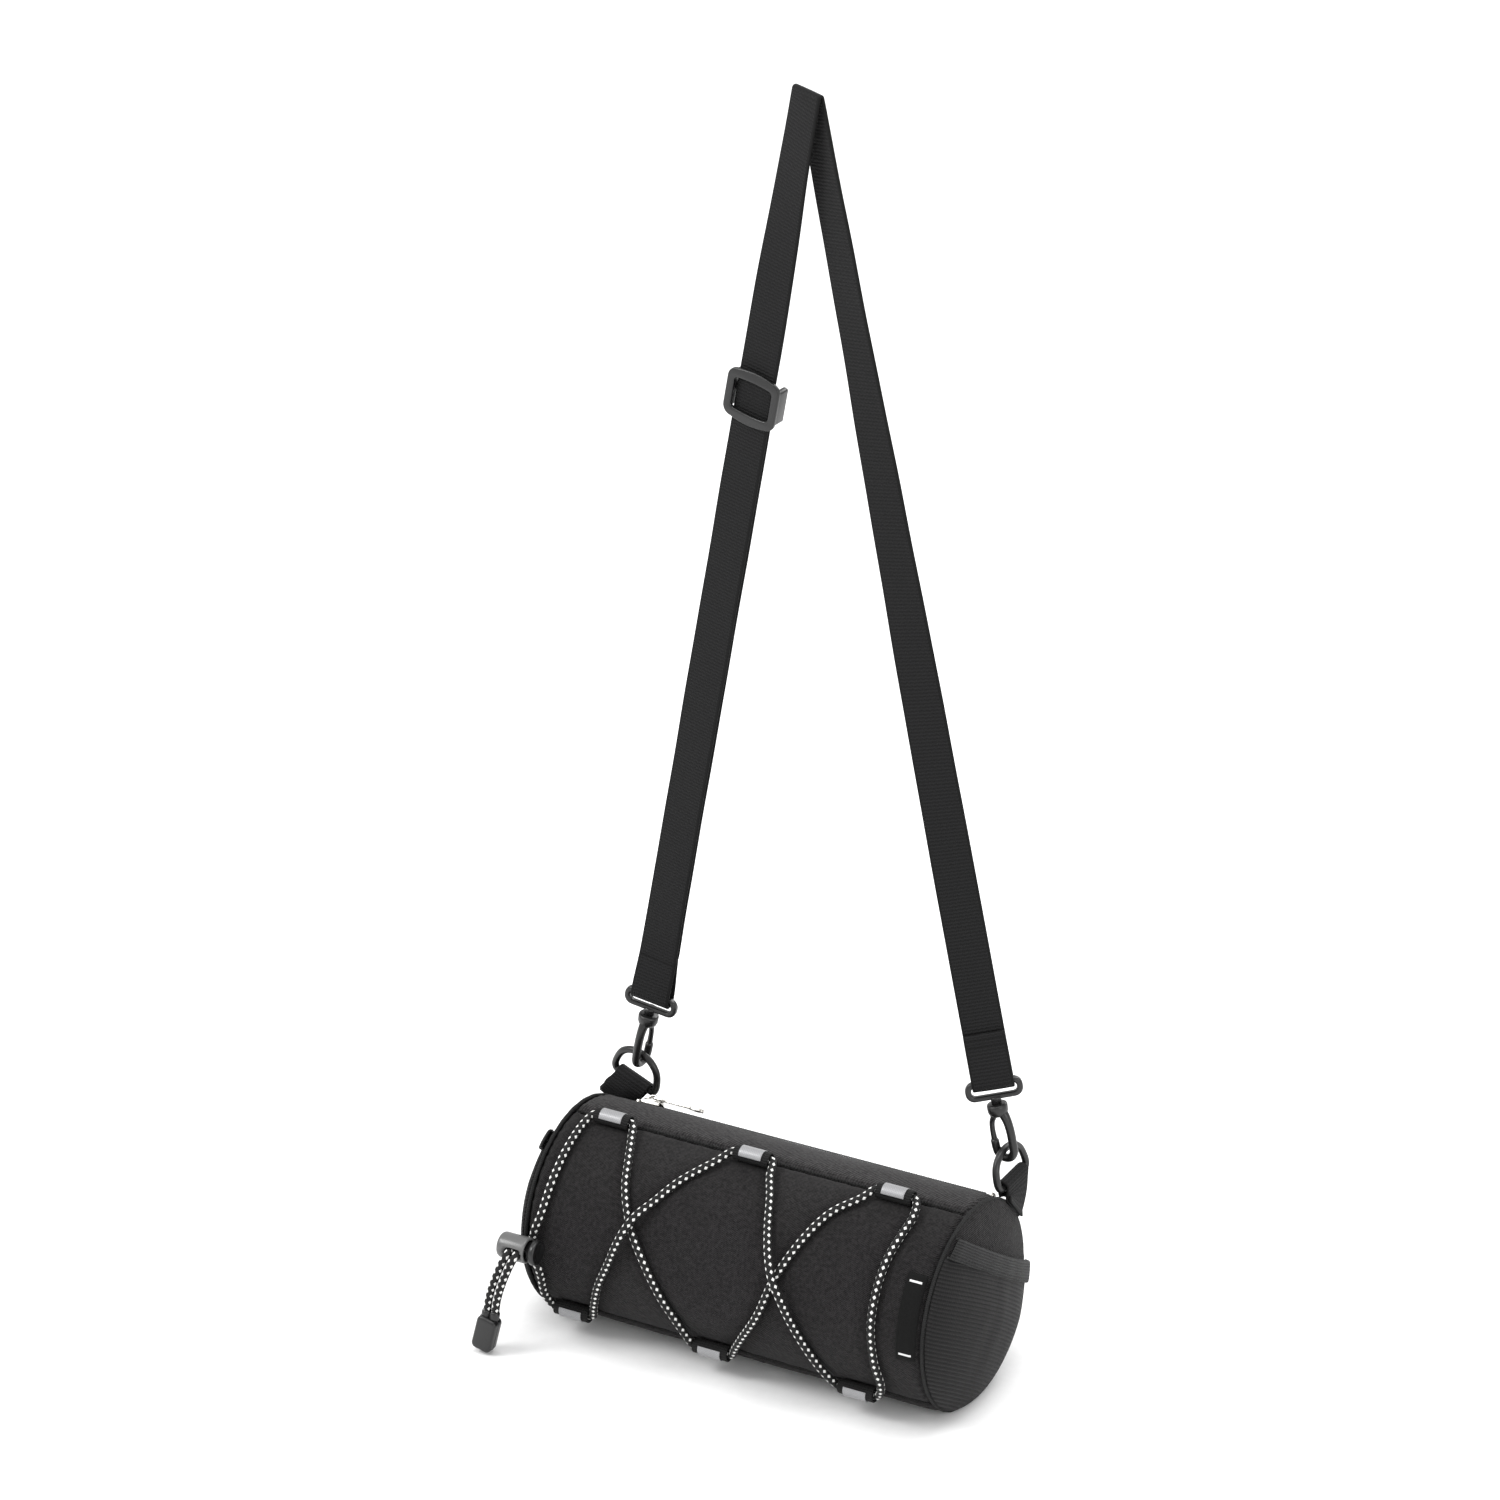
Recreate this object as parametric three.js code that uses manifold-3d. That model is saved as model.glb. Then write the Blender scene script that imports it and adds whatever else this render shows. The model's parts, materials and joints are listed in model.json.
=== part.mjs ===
// A small barrel bag with shock-cord lacing, a zip, end pockets and a clip-on shoulder strap.
// Millimetres, +Z up, the bag's axis along X, its laced front towards -Y, standing on z = 0.
import * as THREE from 'three';
import { mergeVertices, toCreasedNormals } from 'three/addons/utils/BufferGeometryUtils.js';
import Module from 'manifold-3d';

const wasm = await Module();
wasm.setup();

// ---- driving dimensions ----
const RADIUS = 51.5;            // outside of the round body
const AXIS_HEIGHT = 48.5;       // the body is pressed flat by 3 mm where it stands
const HALF_LENGTH = 103;        // middle of the lacing to the right end seam
const LEFT_LENGTH = 109;        // and to the left end seam
const END_BULGE = 8;            // how far an end panel domes out
const CLOTH = 1.8;              // padded panel thickness
const GAP = 0.3;                // clearance left between touching pieces
const YOKE_SEAM = 6;            // angles round the body: 0 is the top, + is towards the front
const BASE_SEAM_FRONT = 134;
const BASE_SEAM_BACK = 218;
const YOKE_SEAM_BACK = 292;
const ZIP_ANGLE = -41;
const ZIP_HALF_ANGLE = 9;
const LINING = 2.4;             // foam lining thickness
const CORD_RADIUS = 1.9;
const LACE_RADIUS = RADIUS + 0.5 + CORD_RADIUS;
const LOOP_RADIUS = RADIUS + 4;
const TOP_LOOPS = [-84, -8, 68];
const BOTTOM_LOOPS = [-88, -12, 66];
const TOP_LOOP_ANGLE = 11;
const BOTTOM_LOOP_ANGLE = 129;
const LOOP_WIDTH = 19;
const WEB_WIDTH = 20;
const WEB_THICK = 1.4;
const STRAP_TOP = [-2, 28.5, 620];
const EYES = { left: [-92.4, 40.6, 141], right: [92.4, 40.6, 141] };
const BARS = { left: [-103.5, 43, 94.5], right: [102, 43, 95] };
const TAB_ANGLE = -47;
const TOP_TURN = -24;           // how far the strap is turned about the vertical at its top fold
const SLIDER_TURN = -5;         // and where the adjuster slides
const SLIDER_SHARE = 0.681;     // the adjuster's place between the left eye and the top fold
const WRAP_RADIUS = 3.2;        // webbing round an eye's bar
const LAYER = 0.95;             // half the distance between two layers of webbing
const FOLD = 1.1;               // and at the top fold
const HOOK_DROP = 31;           // eye to the middle of the hook's curve

const materials = {
  twill: new THREE.MeshStandardMaterial({ color: 0x2c2b2c, roughness: 0.85 }),
  yoke: new THREE.MeshStandardMaterial({ color: 0x3a3839, roughness: 0.9 }),
  webbing: new THREE.MeshStandardMaterial({ color: 0x1c1b1c, roughness: 0.8 }),
  plastic: new THREE.MeshStandardMaterial({ color: 0x1a1a1b, roughness: 0.4 }),
  reflective: new THREE.MeshStandardMaterial({ color: 0xb4b4b6, roughness: 0.4 }),
  metal: new THREE.MeshStandardMaterial({ color: 0xc8c8c4, metalness: 1, roughness: 0.3 }),
  cord: new THREE.MeshStandardMaterial({ color: 0x121212, roughness: 0.7 }),
};

const group = new THREE.Group();

// ---- small helpers ----
function add(name, geometry, material) {
  const mesh = new THREE.Mesh(geometry, materials[material]);
  mesh.name = name;
  group.add(mesh);
}

// A closed shape as a solid: its corners joined, faces without area dropped, facing outward.
function toManifold(geometry) {
  const plain = new THREE.BufferGeometry();
  plain.setAttribute('position', geometry.getAttribute('position').clone());
  if (geometry.index) plain.setIndex(geometry.index.clone());
  const merged = mergeVertices(plain, 1e-4);
  const faces = [];
  const list = merged.index.array;
  for (let i = 0; i < list.length; i += 3) {
    const [a, b, c] = [list[i], list[i + 1], list[i + 2]];
    if (a !== b && b !== c && c !== a) faces.push([a, b, c]);
  }
  const build = (order) => new wasm.Manifold(new wasm.Mesh({
    numProp: 3,
    vertProperties: new Float32Array(merged.attributes.position.array),
    triVerts: new Uint32Array(faces.flatMap(order)),
  }));
  const solid = build(([a, b, c]) => [a, b, c]);
  return solid.volume() >= 0 ? solid : build(([a, b, c]) => [a, c, b]);
}

function fromManifold(solid) {
  const mesh = solid.getMesh();
  const geometry = new THREE.BufferGeometry();
  geometry.setAttribute('position', new THREE.BufferAttribute(new Float32Array(mesh.vertProperties), 3));
  geometry.setIndex(new THREE.BufferAttribute(new Uint32Array(mesh.triVerts), 1));
  return toCreasedNormals(geometry, 0.6);
}

function subtract(body, ...tools) {
  let solid = toManifold(body);
  for (const tool of tools) solid = solid.subtract(toManifold(tool));
  return fromManifold(solid);
}

function unite(...bodies) {
  let solid = toManifold(bodies[0]);
  for (const body of bodies.slice(1)) solid = solid.add(toManifold(body));
  return fromManifold(solid);
}

function box(x0, x1, y0, y1, z0, z1) {
  const geometry = new THREE.BoxGeometry(x1 - x0, y1 - y0, z1 - z0);
  geometry.translate((x0 + x1) / 2, (y0 + y1) / 2, (z0 + z1) / 2);
  return geometry;
}

function vec(list) {
  return new THREE.Vector3(list[0], list[1], list[2]);
}

// A point on the body at distance x along it, an angle round it and a radius.
function onBody(x, degrees, radius) {
  const angle = THREE.MathUtils.degToRad(degrees);
  return new THREE.Vector3(x, -radius * Math.sin(angle), AXIS_HEIGHT + radius * Math.cos(angle));
}

// Extrudes a shape drawn in (y, z) along X.
function extrudeX(shape, x0, x1) {
  const geometry = new THREE.ExtrudeGeometry(shape, { depth: x1 - x0, bevelEnabled: false,
    curveSegments: 8 });
  geometry.applyMatrix4(new THREE.Matrix4().set(0, 0, 1, x0, 1, 0, 0, 0, 0, 1, 0, 0, 0, 0, 0, 1));
  return geometry;
}

// A piece of the round wall between two angles, flattened where it stands on the floor.
function wall(fromDegrees, toDegrees, x0, x1, outer, inner) {
  const points = [];
  const steps = Math.max(2, Math.ceil(Math.abs(toDegrees - fromDegrees) / 7));
  const lowest = (radius) => RADIUS - radius;
  const place = (degrees, radius) => {
    const p = onBody(0, degrees, radius);
    points.push(new THREE.Vector2(p.y, Math.max(p.z, lowest(radius))));
  };
  for (let i = 0; i <= steps; i += 1) place(fromDegrees + (toDegrees - fromDegrees) * i / steps, outer);
  for (let i = steps; i >= 0; i -= 1) place(fromDegrees + (toDegrees - fromDegrees) * i / steps, inner);
  return extrudeX(new THREE.Shape(points), x0, x1);
}

// A round tube along a curve through the points, with flat ends or closed on itself.
function tube(points, radius, steps, sides = 8, closed = false) {
  const curve = new THREE.CatmullRomCurve3(points, closed, 'centripetal');
  const ring = [];
  for (let i = 0; i < sides; i += 1) {
    const turn = 2 * Math.PI * i / sides;
    ring.push(new THREE.Vector2(radius * Math.cos(turn), radius * Math.sin(turn)));
  }
  if (closed) return new THREE.TubeGeometry(curve, steps, radius, sides, true);
  return new THREE.ExtrudeGeometry(new THREE.Shape(ring), { steps, extrudePath: curve, bevelEnabled: false });
}

// A closed flat ribbon through stations of { at, across, out }, of one width and thickness.
function ribbon(stations, width, thick) {
  const positions = [];
  for (const { at, across, out } of stations) {
    for (const [w, t] of [[-1, -1], [1, -1], [1, 1], [-1, 1]]) {
      const corner = at.clone().addScaledVector(across, w * width / 2).addScaledVector(out, t * thick / 2);
      positions.push(corner.x, corner.y, corner.z);
    }
  }
  const index = [];
  const count = stations.length;
  for (let i = 0; i < count - 1; i += 1) {
    const a = 4 * i;
    const b = a + 4;
    for (let k = 0; k < 4; k += 1) {
      const next = (k + 1) % 4;
      index.push(a + k, a + next, b + next, a + k, b + next, b + k);
    }
  }
  const last = 4 * (count - 1);
  index.push(0, 2, 1, 0, 3, 2);
  index.push(last, last + 1, last + 2, last, last + 2, last + 3);
  const geometry = new THREE.BufferGeometry();
  geometry.setAttribute('position', new THREE.Float32BufferAttribute(positions, 3));
  geometry.setIndex(index);
  return fromManifold(toManifold(geometry));
}

// A frame with its Z along the given direction and its X as near as possible to another.
function frameAt(origin, along, across) {
  const z = along.clone().normalize();
  const x = across.clone().addScaledVector(z, -across.dot(z)).normalize();
  const y = z.clone().cross(x);
  return new THREE.Matrix4().makeBasis(x, y, z).setPosition(origin);
}

// ---- the body ----
function buildBody() {
  const inner = RADIUS - CLOTH;
  const half = HALF_LENGTH;
  const left = -LEFT_LENGTH;
  const edge = 0.2;
  const zipFront = ZIP_ANGLE + ZIP_HALF_ANGLE;
  const zipBack = ZIP_ANGLE - ZIP_HALF_ANGLE;
  add('front_panel', wall(YOKE_SEAM + edge, BASE_SEAM_FRONT - edge, left, half, RADIUS, inner), 'twill');
  add('yoke_front', wall(zipFront + edge, YOKE_SEAM - edge, left, half, RADIUS, inner), 'yoke');
  add('yoke_back', wall(YOKE_SEAM_BACK - 360 + edge, zipBack - edge, left, half, RADIUS, inner), 'yoke');
  add('back_panel', wall(BASE_SEAM_BACK + edge, YOKE_SEAM_BACK - edge, left, half, RADIUS, inner), 'twill');
  add('base_panel', wall(BASE_SEAM_FRONT + edge, BASE_SEAM_BACK - edge, left, half, RADIUS, inner), 'twill');
  const liningOuter = inner - GAP;
  add('lining', wall(zipFront, 360 + zipBack, left + 0.6, half - 0.6, liningOuter, liningOuter - LINING),
    'yoke');
}

// Round the X axis: turns a profile of [x, radius] pairs into a solid.
function turned(profile, segments = 36) {
  const geometry = new THREE.LatheGeometry(profile.map(([x, r]) => new THREE.Vector2(r, x)), segments);
  geometry.rotateZ(-Math.PI / 2);
  geometry.translate(0, 0, AXIS_HEIGHT);
  return geometry;
}

function domeX(radius, offset) {
  return HALF_LENGTH + GAP + offset + END_BULGE * (1 - (radius / RADIUS) ** 2);
}

// A shell that follows the domed end between two offsets, out to a radius.
function domeShell(near, far, rim) {
  const radii = [0, 0.35, 0.6, 0.8, 0.93, 1].map((t) => t * rim);
  const outside = radii.map((r) => [domeX(r, far), r]);
  const inside = radii.map((r) => [domeX(r, near), r]).reverse();
  return fromManifold(toManifold(turned([...outside, ...inside])));
}

// The left end's piece, from the right end's.
function mirrored(geometry) {
  const copy = geometry.clone();
  copy.applyMatrix4(new THREE.Matrix4().makeScale(-1, 1, 1));
  copy.translate(HALF_LENGTH - LEFT_LENGTH, 0, 0);
  return fromManifold(toManifold(copy));
}

// A block covering one side of a line across the end: 'below' or 'above' it at a distance.
function acrossEnd(distance, side) {
  const slab = side === 'above' ? box(90, 130, -90, 90, distance, distance + 120)
    : box(90, 130, -90, 90, distance - 160, distance);
  slab.rotateX(THREE.MathUtils.degToRad(-33));
  slab.translate(0, 0, AXIS_HEIGHT);
  return slab;
}

function buildEnds() {
  const floor = box(-200, 200, -90, 90, -60, 0);
  const panel = subtract(domeShell(0, CLOTH, RADIUS), floor);
  const raisedFloor = box(-200, 200, -90, 90, -60, 0.4);
  const pocket = subtract(domeShell(CLOTH + 0.4, CLOTH + 1.6, RADIUS - 0.4), raisedFloor,
    acrossEnd(16.5, 'above'));
  const band = subtract(domeShell(CLOTH + 0.4, CLOTH + 2.2, RADIUS - 0.4), acrossEnd(26.8, 'above'),
    acrossEnd(16.8, 'below'));
  add('end_panel_right', panel, 'twill');
  add('end_panel_left', mirrored(panel), 'twill');
  add('end_pocket_right', pocket, 'webbing');
  add('end_pocket_left', mirrored(pocket), 'webbing');
  add('pocket_elastic_right', band, 'webbing');
  add('pocket_elastic_left', mirrored(band), 'webbing');
}

// ---- the zip ----
function toZip(geometry) {
  geometry.rotateX(THREE.MathUtils.degToRad(ZIP_ANGLE));
  geometry.translate(0, 0, AXIS_HEIGHT);
  return geometry;
}

const SLIDER_X = -88.5;

function buildZip() {
  const left = 2 - LEFT_LENGTH;
  const half = HALF_LENGTH - 2;
  const outer = RADIUS - 0.3;
  const split = 0.25;
  const edge = 0.2;
  add('zip_tape_front', wall(ZIP_ANGLE + split, ZIP_ANGLE + ZIP_HALF_ANGLE - edge, left, half, outer,
    outer - 1.1),
    'webbing');
  add('zip_tape_back', wall(ZIP_ANGLE - ZIP_HALF_ANGLE + edge, ZIP_ANGLE - split, left, half, outer,
    outer - 1.1),
    'webbing');
  const coil = box(-94, 94, 0.2, 1.9, RADIUS - 0.1, RADIUS + 1.3);
  add('zip_coil_front', toZip(coil.clone().translate(0, -2.1, 0)), 'webbing');
  add('zip_coil_back', toZip(coil.clone()), 'webbing');
  const stop = box(-97, -94.6, -2.2, 2.2, RADIUS - 0.1, RADIUS + 2);
  add('zip_stop_left', toZip(stop.clone()), 'metal');
  add('zip_stop_right', toZip(stop.clone().translate(191.6, 0, 0)), 'metal');

  const body = box(-5, 5, -4, 4, RADIUS + 0.1, RADIUS + 3.6);
  const channel = box(-6, 6, -2.3, 2.3, RADIUS - 1, RADIUS + 1.8);
  const bridge = box(-3.6, 3.2, -1.3, 1.3, RADIUS + 3, RADIUS + 6.4);
  const window = box(-2.2, 1.8, -2, 2, RADIUS + 3.6, RADIUS + 5.2);
  const slider = subtract(unite(subtract(body, channel), bridge), window);
  add('zip_slider', toZip(slider.translate(SLIDER_X, 0, 0)), 'metal');

  const ring = box(-0.55, 6.5, -2.6, 2.6, RADIUS + 3.9, RADIUS + 4.9);
  const ringHole = box(0.55, 4.9, -1.6, 1.6, RADIUS + 3, RADIUS + 6);
  const tongue = box(6, 21, -1.7, 1.7, RADIUS + 3.9, RADIUS + 4.9);
  const tip = box(19.5, 27, -1.9, 1.9, RADIUS + 3.4, RADIUS + 5.4);
  const pull = unite(subtract(ring, ringHole), tongue, tip);
  add('zip_pull', toZip(pull.translate(SLIDER_X, 0, 0)), 'metal');
}

// ---- the lacing ----
function loopGeometry(x, degrees, seamSide) {
  const shape = new THREE.Shape();
  shape.absarc(0, 0, 3.7, 0, 2 * Math.PI, false);
  const hole = new THREE.Path();
  hole.absarc(0, 0, 2.65, 0, 2 * Math.PI, true);
  shape.holes.push(hole);
  const ring = extrudeX(shape, x - LOOP_WIDTH / 2, x + LOOP_WIDTH / 2);
  const flangeStart = seamSide > 0 ? 0.5 : -4.6;
  const flange = box(x - LOOP_WIDTH / 2, x + LOOP_WIDTH / 2, flangeStart, flangeStart + 4.1, -3.7, -2.75);
  const loop = unite(ring, flange);
  loop.translate(0, 0, LOOP_RADIUS);
  loop.rotateX(THREE.MathUtils.degToRad(degrees));
  loop.translate(0, 0, AXIS_HEIGHT);
  return loop;
}

function patchGeometry(x, degrees) {
  const shape = new THREE.Shape();
  const start = THREE.MathUtils.degToRad(20);
  shape.absarc(0, 0, 4.1, start, Math.PI - start, false);
  shape.absarc(0, 0, 3.8, Math.PI - start, start, true);
  const patch = extrudeX(shape, x - 6, x + 6);
  patch.translate(0, 0, LOOP_RADIUS);
  patch.rotateX(THREE.MathUtils.degToRad(degrees));
  patch.translate(0, 0, AXIS_HEIGHT);
  return patch;
}

function buildLoops() {
  TOP_LOOPS.forEach((x, i) => {
    add(`lace_loop_top_${i + 1}`, loopGeometry(x, TOP_LOOP_ANGLE, 1), 'webbing');
    add(`reflector_top_${i + 1}`, patchGeometry(x, TOP_LOOP_ANGLE), 'reflective');
  });
  BOTTOM_LOOPS.forEach((x, i) => {
    add(`lace_loop_bottom_${i + 1}`, loopGeometry(x, BOTTOM_LOOP_ANGLE, -1), 'webbing');
    add(`reflector_bottom_${i + 1}`, patchGeometry(x, BOTTOM_LOOP_ANGLE), 'reflective');
  });
}

const LOCK = new THREE.Vector3(-106.5, -62.3, 52);      // middle of the cord lock
const TAIL_SPACING = 2.2;                            // the two cord runs through it sit side by side
const BUTTON_TRAVEL = 2.4;

// Stations that carry the cord straight through a loop, left to right or right to left.
function throughLoop(x, degrees, direction) {
  const reach = LOOP_WIDTH / 2 + 0.8;
  return [-reach, -reach / 2, 0, reach / 2, reach].map((step) => onBody(x + direction * step, degrees,
    LOOP_RADIUS));
}

function laceRun(list, radius = LACE_RADIUS) {
  return list.map(([x, degrees, lift = 0]) => onBody(x, degrees, radius + lift));
}

function buildLacing() {
  const lockPoint = (side, x, y, z) => new THREE.Vector3(LOCK.x + side * TAIL_SPACING + x, LOCK.y + y,
    LOCK.z + z);
  const points = [
    lockPoint(1, 0, 4.2, 0),
    lockPoint(1, 0, 6.6, 0.1),
    lockPoint(1, 0.3, 8.7, 2),
    lockPoint(1, 1.6, 8.8, 7),
    ...laceRun([[-100.5, 71, 0.6], [-99, 53], [-98, 33], [-96.5, 17, 0.8]]),
    ...throughLoop(TOP_LOOPS[0], TOP_LOOP_ANGLE, 1),
    ...laceRun([[-70, 19, 0.6], [-65.5, 32], [-61, 47], [-53, 65], [-44, 80], [-35, 97], [-28, 112],
      [-24.5, 122, 0.8]]),
    ...throughLoop(BOTTOM_LOOPS[1], BOTTOM_LOOP_ANGLE, 1),
    ...laceRun([[2, 122, 0.8], [8, 111], [18, 93], [26, 70], [35, 48], [43, 31], [54, 18, 0.8]]),
    ...throughLoop(TOP_LOOPS[2], TOP_LOOP_ANGLE, 1),
    ...laceRun([[82, 20, 0.8], [81, 32], [79, 46], [78, 63], [78, 82], [79.5, 102], [81, 118, 1]]),
    ...throughLoop(BOTTOM_LOOPS[2], BOTTOM_LOOP_ANGLE, -1),
    ...laceRun([[51, 121.5, 1], [43, 105], [36, 91, 0.4], [30.5, 78, 3.3], [26, 70, 4.3], [21.5, 60, 3.3],
      [16, 47, 0.4],
      [10.5, 31], [5.5, 20, 0.8]]),
    ...throughLoop(TOP_LOOPS[1], TOP_LOOP_ANGLE, -1),
    ...laceRun([[-23, 19, 0.8], [-36, 36], [-44, 49, 0.4], [-49.5, 58, 3.3], [-53, 65, 4.3], [-57, 74, 3.3],
      [-62, 86, 0.4], [-69, 103], [-74, 119, 0.8]]),
    ...throughLoop(BOTTOM_LOOPS[0], BOTTOM_LOOP_ANGLE, -1),
    ...laceRun([[-101, 119, 1], [-101, 106], [-101.8, 98, 0.8]]),
    lockPoint(-1, 0.8, 8.7, -6),
    lockPoint(-1, 0.1, 8.7, -2),
    lockPoint(-1, 0, 6.6, -0.1),
    lockPoint(-1, 0, 4.2, 0),
  ];
  add('shock_cord', tube(points, CORD_RADIUS, 150), 'cord');
}

// ---- the cord lock, its tails and the cord end ----
function barrel(x0, x1, radius, bevel = 0) {
  const profile = bevel
    ? [[x0, 0], [x0, radius - bevel], [x0 + bevel, radius], [x1 - bevel, radius], [x1, radius - bevel],
      [x1, 0]]
    : [[x0, 0], [x0, radius], [x1, radius], [x1, 0]];
  const geometry = new THREE.LatheGeometry(profile.map(([x, r]) => new THREE.Vector2(r, x)), 24);
  geometry.rotateZ(-Math.PI / 2);
  return fromManifold(toManifold(geometry));
}

// A slot for the two cord runs, lying along X at a distance from the lock's middle and cut along Y.
function cordSlot(halfLength, radius, shift = 0) {
  const shape = new THREE.Shape();
  shape.absarc(halfLength, 0, radius, -Math.PI / 2, Math.PI / 2, false);
  shape.absarc(-halfLength, 0, radius, Math.PI / 2, 3 * Math.PI / 2, false);
  const geometry = new THREE.ExtrudeGeometry(shape, { depth: 20, bevelEnabled: false, curveSegments: 8 });
  geometry.translate(shift, 0, -10);
  geometry.rotateX(Math.PI / 2);
  return geometry;
}

function buildLock() {
  const shell = barrel(-9.5, 5.7, 6.4, 1);
  const bore = barrel(-8, 9, 4.9);
  const body = subtract(shell, bore, cordSlot(TAIL_SPACING, 2.6));
  const stem = unite(barrel(-5.4, 8.6, 4.6), barrel(8.2, 11.2, 6.2, 0.8));
  const button = subtract(stem, cordSlot(TAIL_SPACING + BUTTON_TRAVEL / 2, 2.35, BUTTON_TRAVEL / 2));
  for (const geometry of [body, button]) geometry.translate(LOCK.x, LOCK.y, LOCK.z);
  add('cord_lock_body', body, 'plastic');
  add('cord_lock_button', button, 'plastic');

  for (const [name, side] of [['cord_tail_a', 1], ['cord_tail_b', -1]]) {
    const x = LOCK.x + side * TAIL_SPACING;
    const points = [
      new THREE.Vector3(x, LOCK.y + 3.9, LOCK.z),
      new THREE.Vector3(x, LOCK.y - 5, LOCK.z),
      new THREE.Vector3(x, LOCK.y - 7.4, LOCK.z - 0.8),
      new THREE.Vector3(x - 1.2, LOCK.y - 9.4, LOCK.z - 4),
      new THREE.Vector3(x - 3.6, LOCK.y - 12.2, LOCK.z - 12),
      new THREE.Vector3(x - 6.2, LOCK.y - 13.6, LOCK.z - 22),
      new THREE.Vector3(x - 7.4, LOCK.y - 14.2, LOCK.z - 31),
    ];
    add(name, tube(points, CORD_RADIUS, 14), 'cord');
  }
  const end = extrudeY(rounded(10.6, 18.4, 2.6), -3.6, 3.6);
  end.rotateY(THREE.MathUtils.degToRad(14));
  end.translate(LOCK.x - 9.7, LOCK.y - 14.6, 10.9);
  add('cord_end', end, 'plastic');
}

function rounded(width, height, radius) {
  const shape = new THREE.Shape();
  const w = width / 2 - radius;
  const h = height / 2 - radius;
  shape.absarc(w, h, radius, 0, Math.PI / 2, false);
  shape.absarc(-w, h, radius, Math.PI / 2, Math.PI, false);
  shape.absarc(-w, -h, radius, Math.PI, 1.5 * Math.PI, false);
  shape.absarc(w, -h, radius, 1.5 * Math.PI, 2 * Math.PI, false);
  return shape;
}

// Extrudes a shape drawn in (x, z) along Y.
function extrudeY(shape, y0, y1) {
  const geometry = new THREE.ExtrudeGeometry(shape, { depth: y1 - y0, bevelEnabled: false,
    curveSegments: 5 });
  geometry.rotateX(Math.PI / 2);
  geometry.translate(0, y1, 0);
  return geometry;
}

function buildLabel() {
  add('side_label', wall(50, 96, 91, 101, RADIUS + 1.1, RADIUS + 0.3), 'webbing');
}

// ---- tabs, D rings, hooks and strap ----
const ACROSS = {
  left: { ring: new THREE.Vector3(0.98, -0.1, -0.18), hook: new THREE.Vector3(0.1, 1, 0), strap: 5,
    foot: 0.45 },
  right: { ring: new THREE.Vector3(0.1, 1, 0), hook: new THREE.Vector3(-1, 0.1, 0), strap: 29, foot: 0 },
};

// The hook and its eye hang in line with the strap.
function hookDirection(side) {
  return vec(STRAP_TOP).sub(vec(EYES[side])).normalize();
}

// From the ring's bar to the top of its bow, which sits in the hook's curve.
function ringRise(side) {
  return vec(EYES[side]).addScaledVector(hookDirection(side), -HOOK_DROP).sub(vec(BARS[side]));
}

// The ring stands on its bar, square to the way it is pulled.
function ringFrame(side) {
  return frameAt(vec(BARS[side]), ringRise(side), ACROSS[side].ring);
}

function buildTab(side) {
  const seamX = side === 'left' ? -LEFT_LENGTH : HALF_LENGTH;
  const base = onBody(seamX * 1.02, TAB_ANGLE, RADIUS + 1.2 + 3.5 * ACROSS[side].foot);
  const rise = vec(BARS[side]).sub(base);
  const bar = new THREE.Vector3().setFromMatrixColumn(ringFrame(side), 0);
  const angle = THREE.MathUtils.degToRad(-TAB_ANGLE);
  const seam = new THREE.Vector3(0, Math.cos(angle), -Math.sin(angle)).lerp(bar,
    ACROSS[side].foot).normalize();
  // Across, upward and facing directions of the webbing at a share of its height.
  const facing = (share) => {
    const across = seam.clone().lerp(bar, Math.min(1, share / 0.65)).normalize();
    const up = rise.clone().addScaledVector(across, -rise.dot(across)).normalize();
    return { across, up, normal: across.clone().cross(up) };
  };
  const layer = (share, face) => {
    const { across, normal } = facing(share);
    const out = normal.multiplyScalar(face);
    const at = base.clone().addScaledVector(rise, share).addScaledVector(out, 0.95 + 1.95 * share);
    return { at, across, out };
  };
  const top = facing(1);
  const shares = [0, 0.1, 0.2, 0.3, 0.4, 0.5, 0.6, 0.7, 0.85, 1];
  const stations = [
    ...shares.map((share) => layer(share, 1)),
    ...halfTurn(vec(BARS[side]), top.across, top.normal, top.up, 2.9),
    ...shares.slice().reverse().map((share) => layer(share, -1)),
  ];
  add(`tab_${side}`, ribbon(stations, WEB_WIDTH - 1, 1.2), 'webbing');
}

function buildRing(side) {
  const rise = ringRise(side);
  const half = 12;
  const points = [new THREE.Vector3(1 - half, 0, 0), new THREE.Vector3(-half / 2, 0, 0),
    new THREE.Vector3(half / 2, 0, 0),
    new THREE.Vector3(half - 1, 0, 0),
    new THREE.Vector3(half + 0.4, 0, 2.4)];
  for (let i = 1; i < 8; i += 1) {
    const turn = Math.PI * i / 8;
    points.push(new THREE.Vector3(half * Math.cos(turn), 0, 6 + (rise.length() - 6) * Math.sin(turn)));
  }
  points.push(new THREE.Vector3(-half - 0.4, 0, 2.4));
  add(`d_ring_${side}`, tube(points, 1.8, 32, 8, true).applyMatrix4(ringFrame(side)), 'plastic');
}

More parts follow.
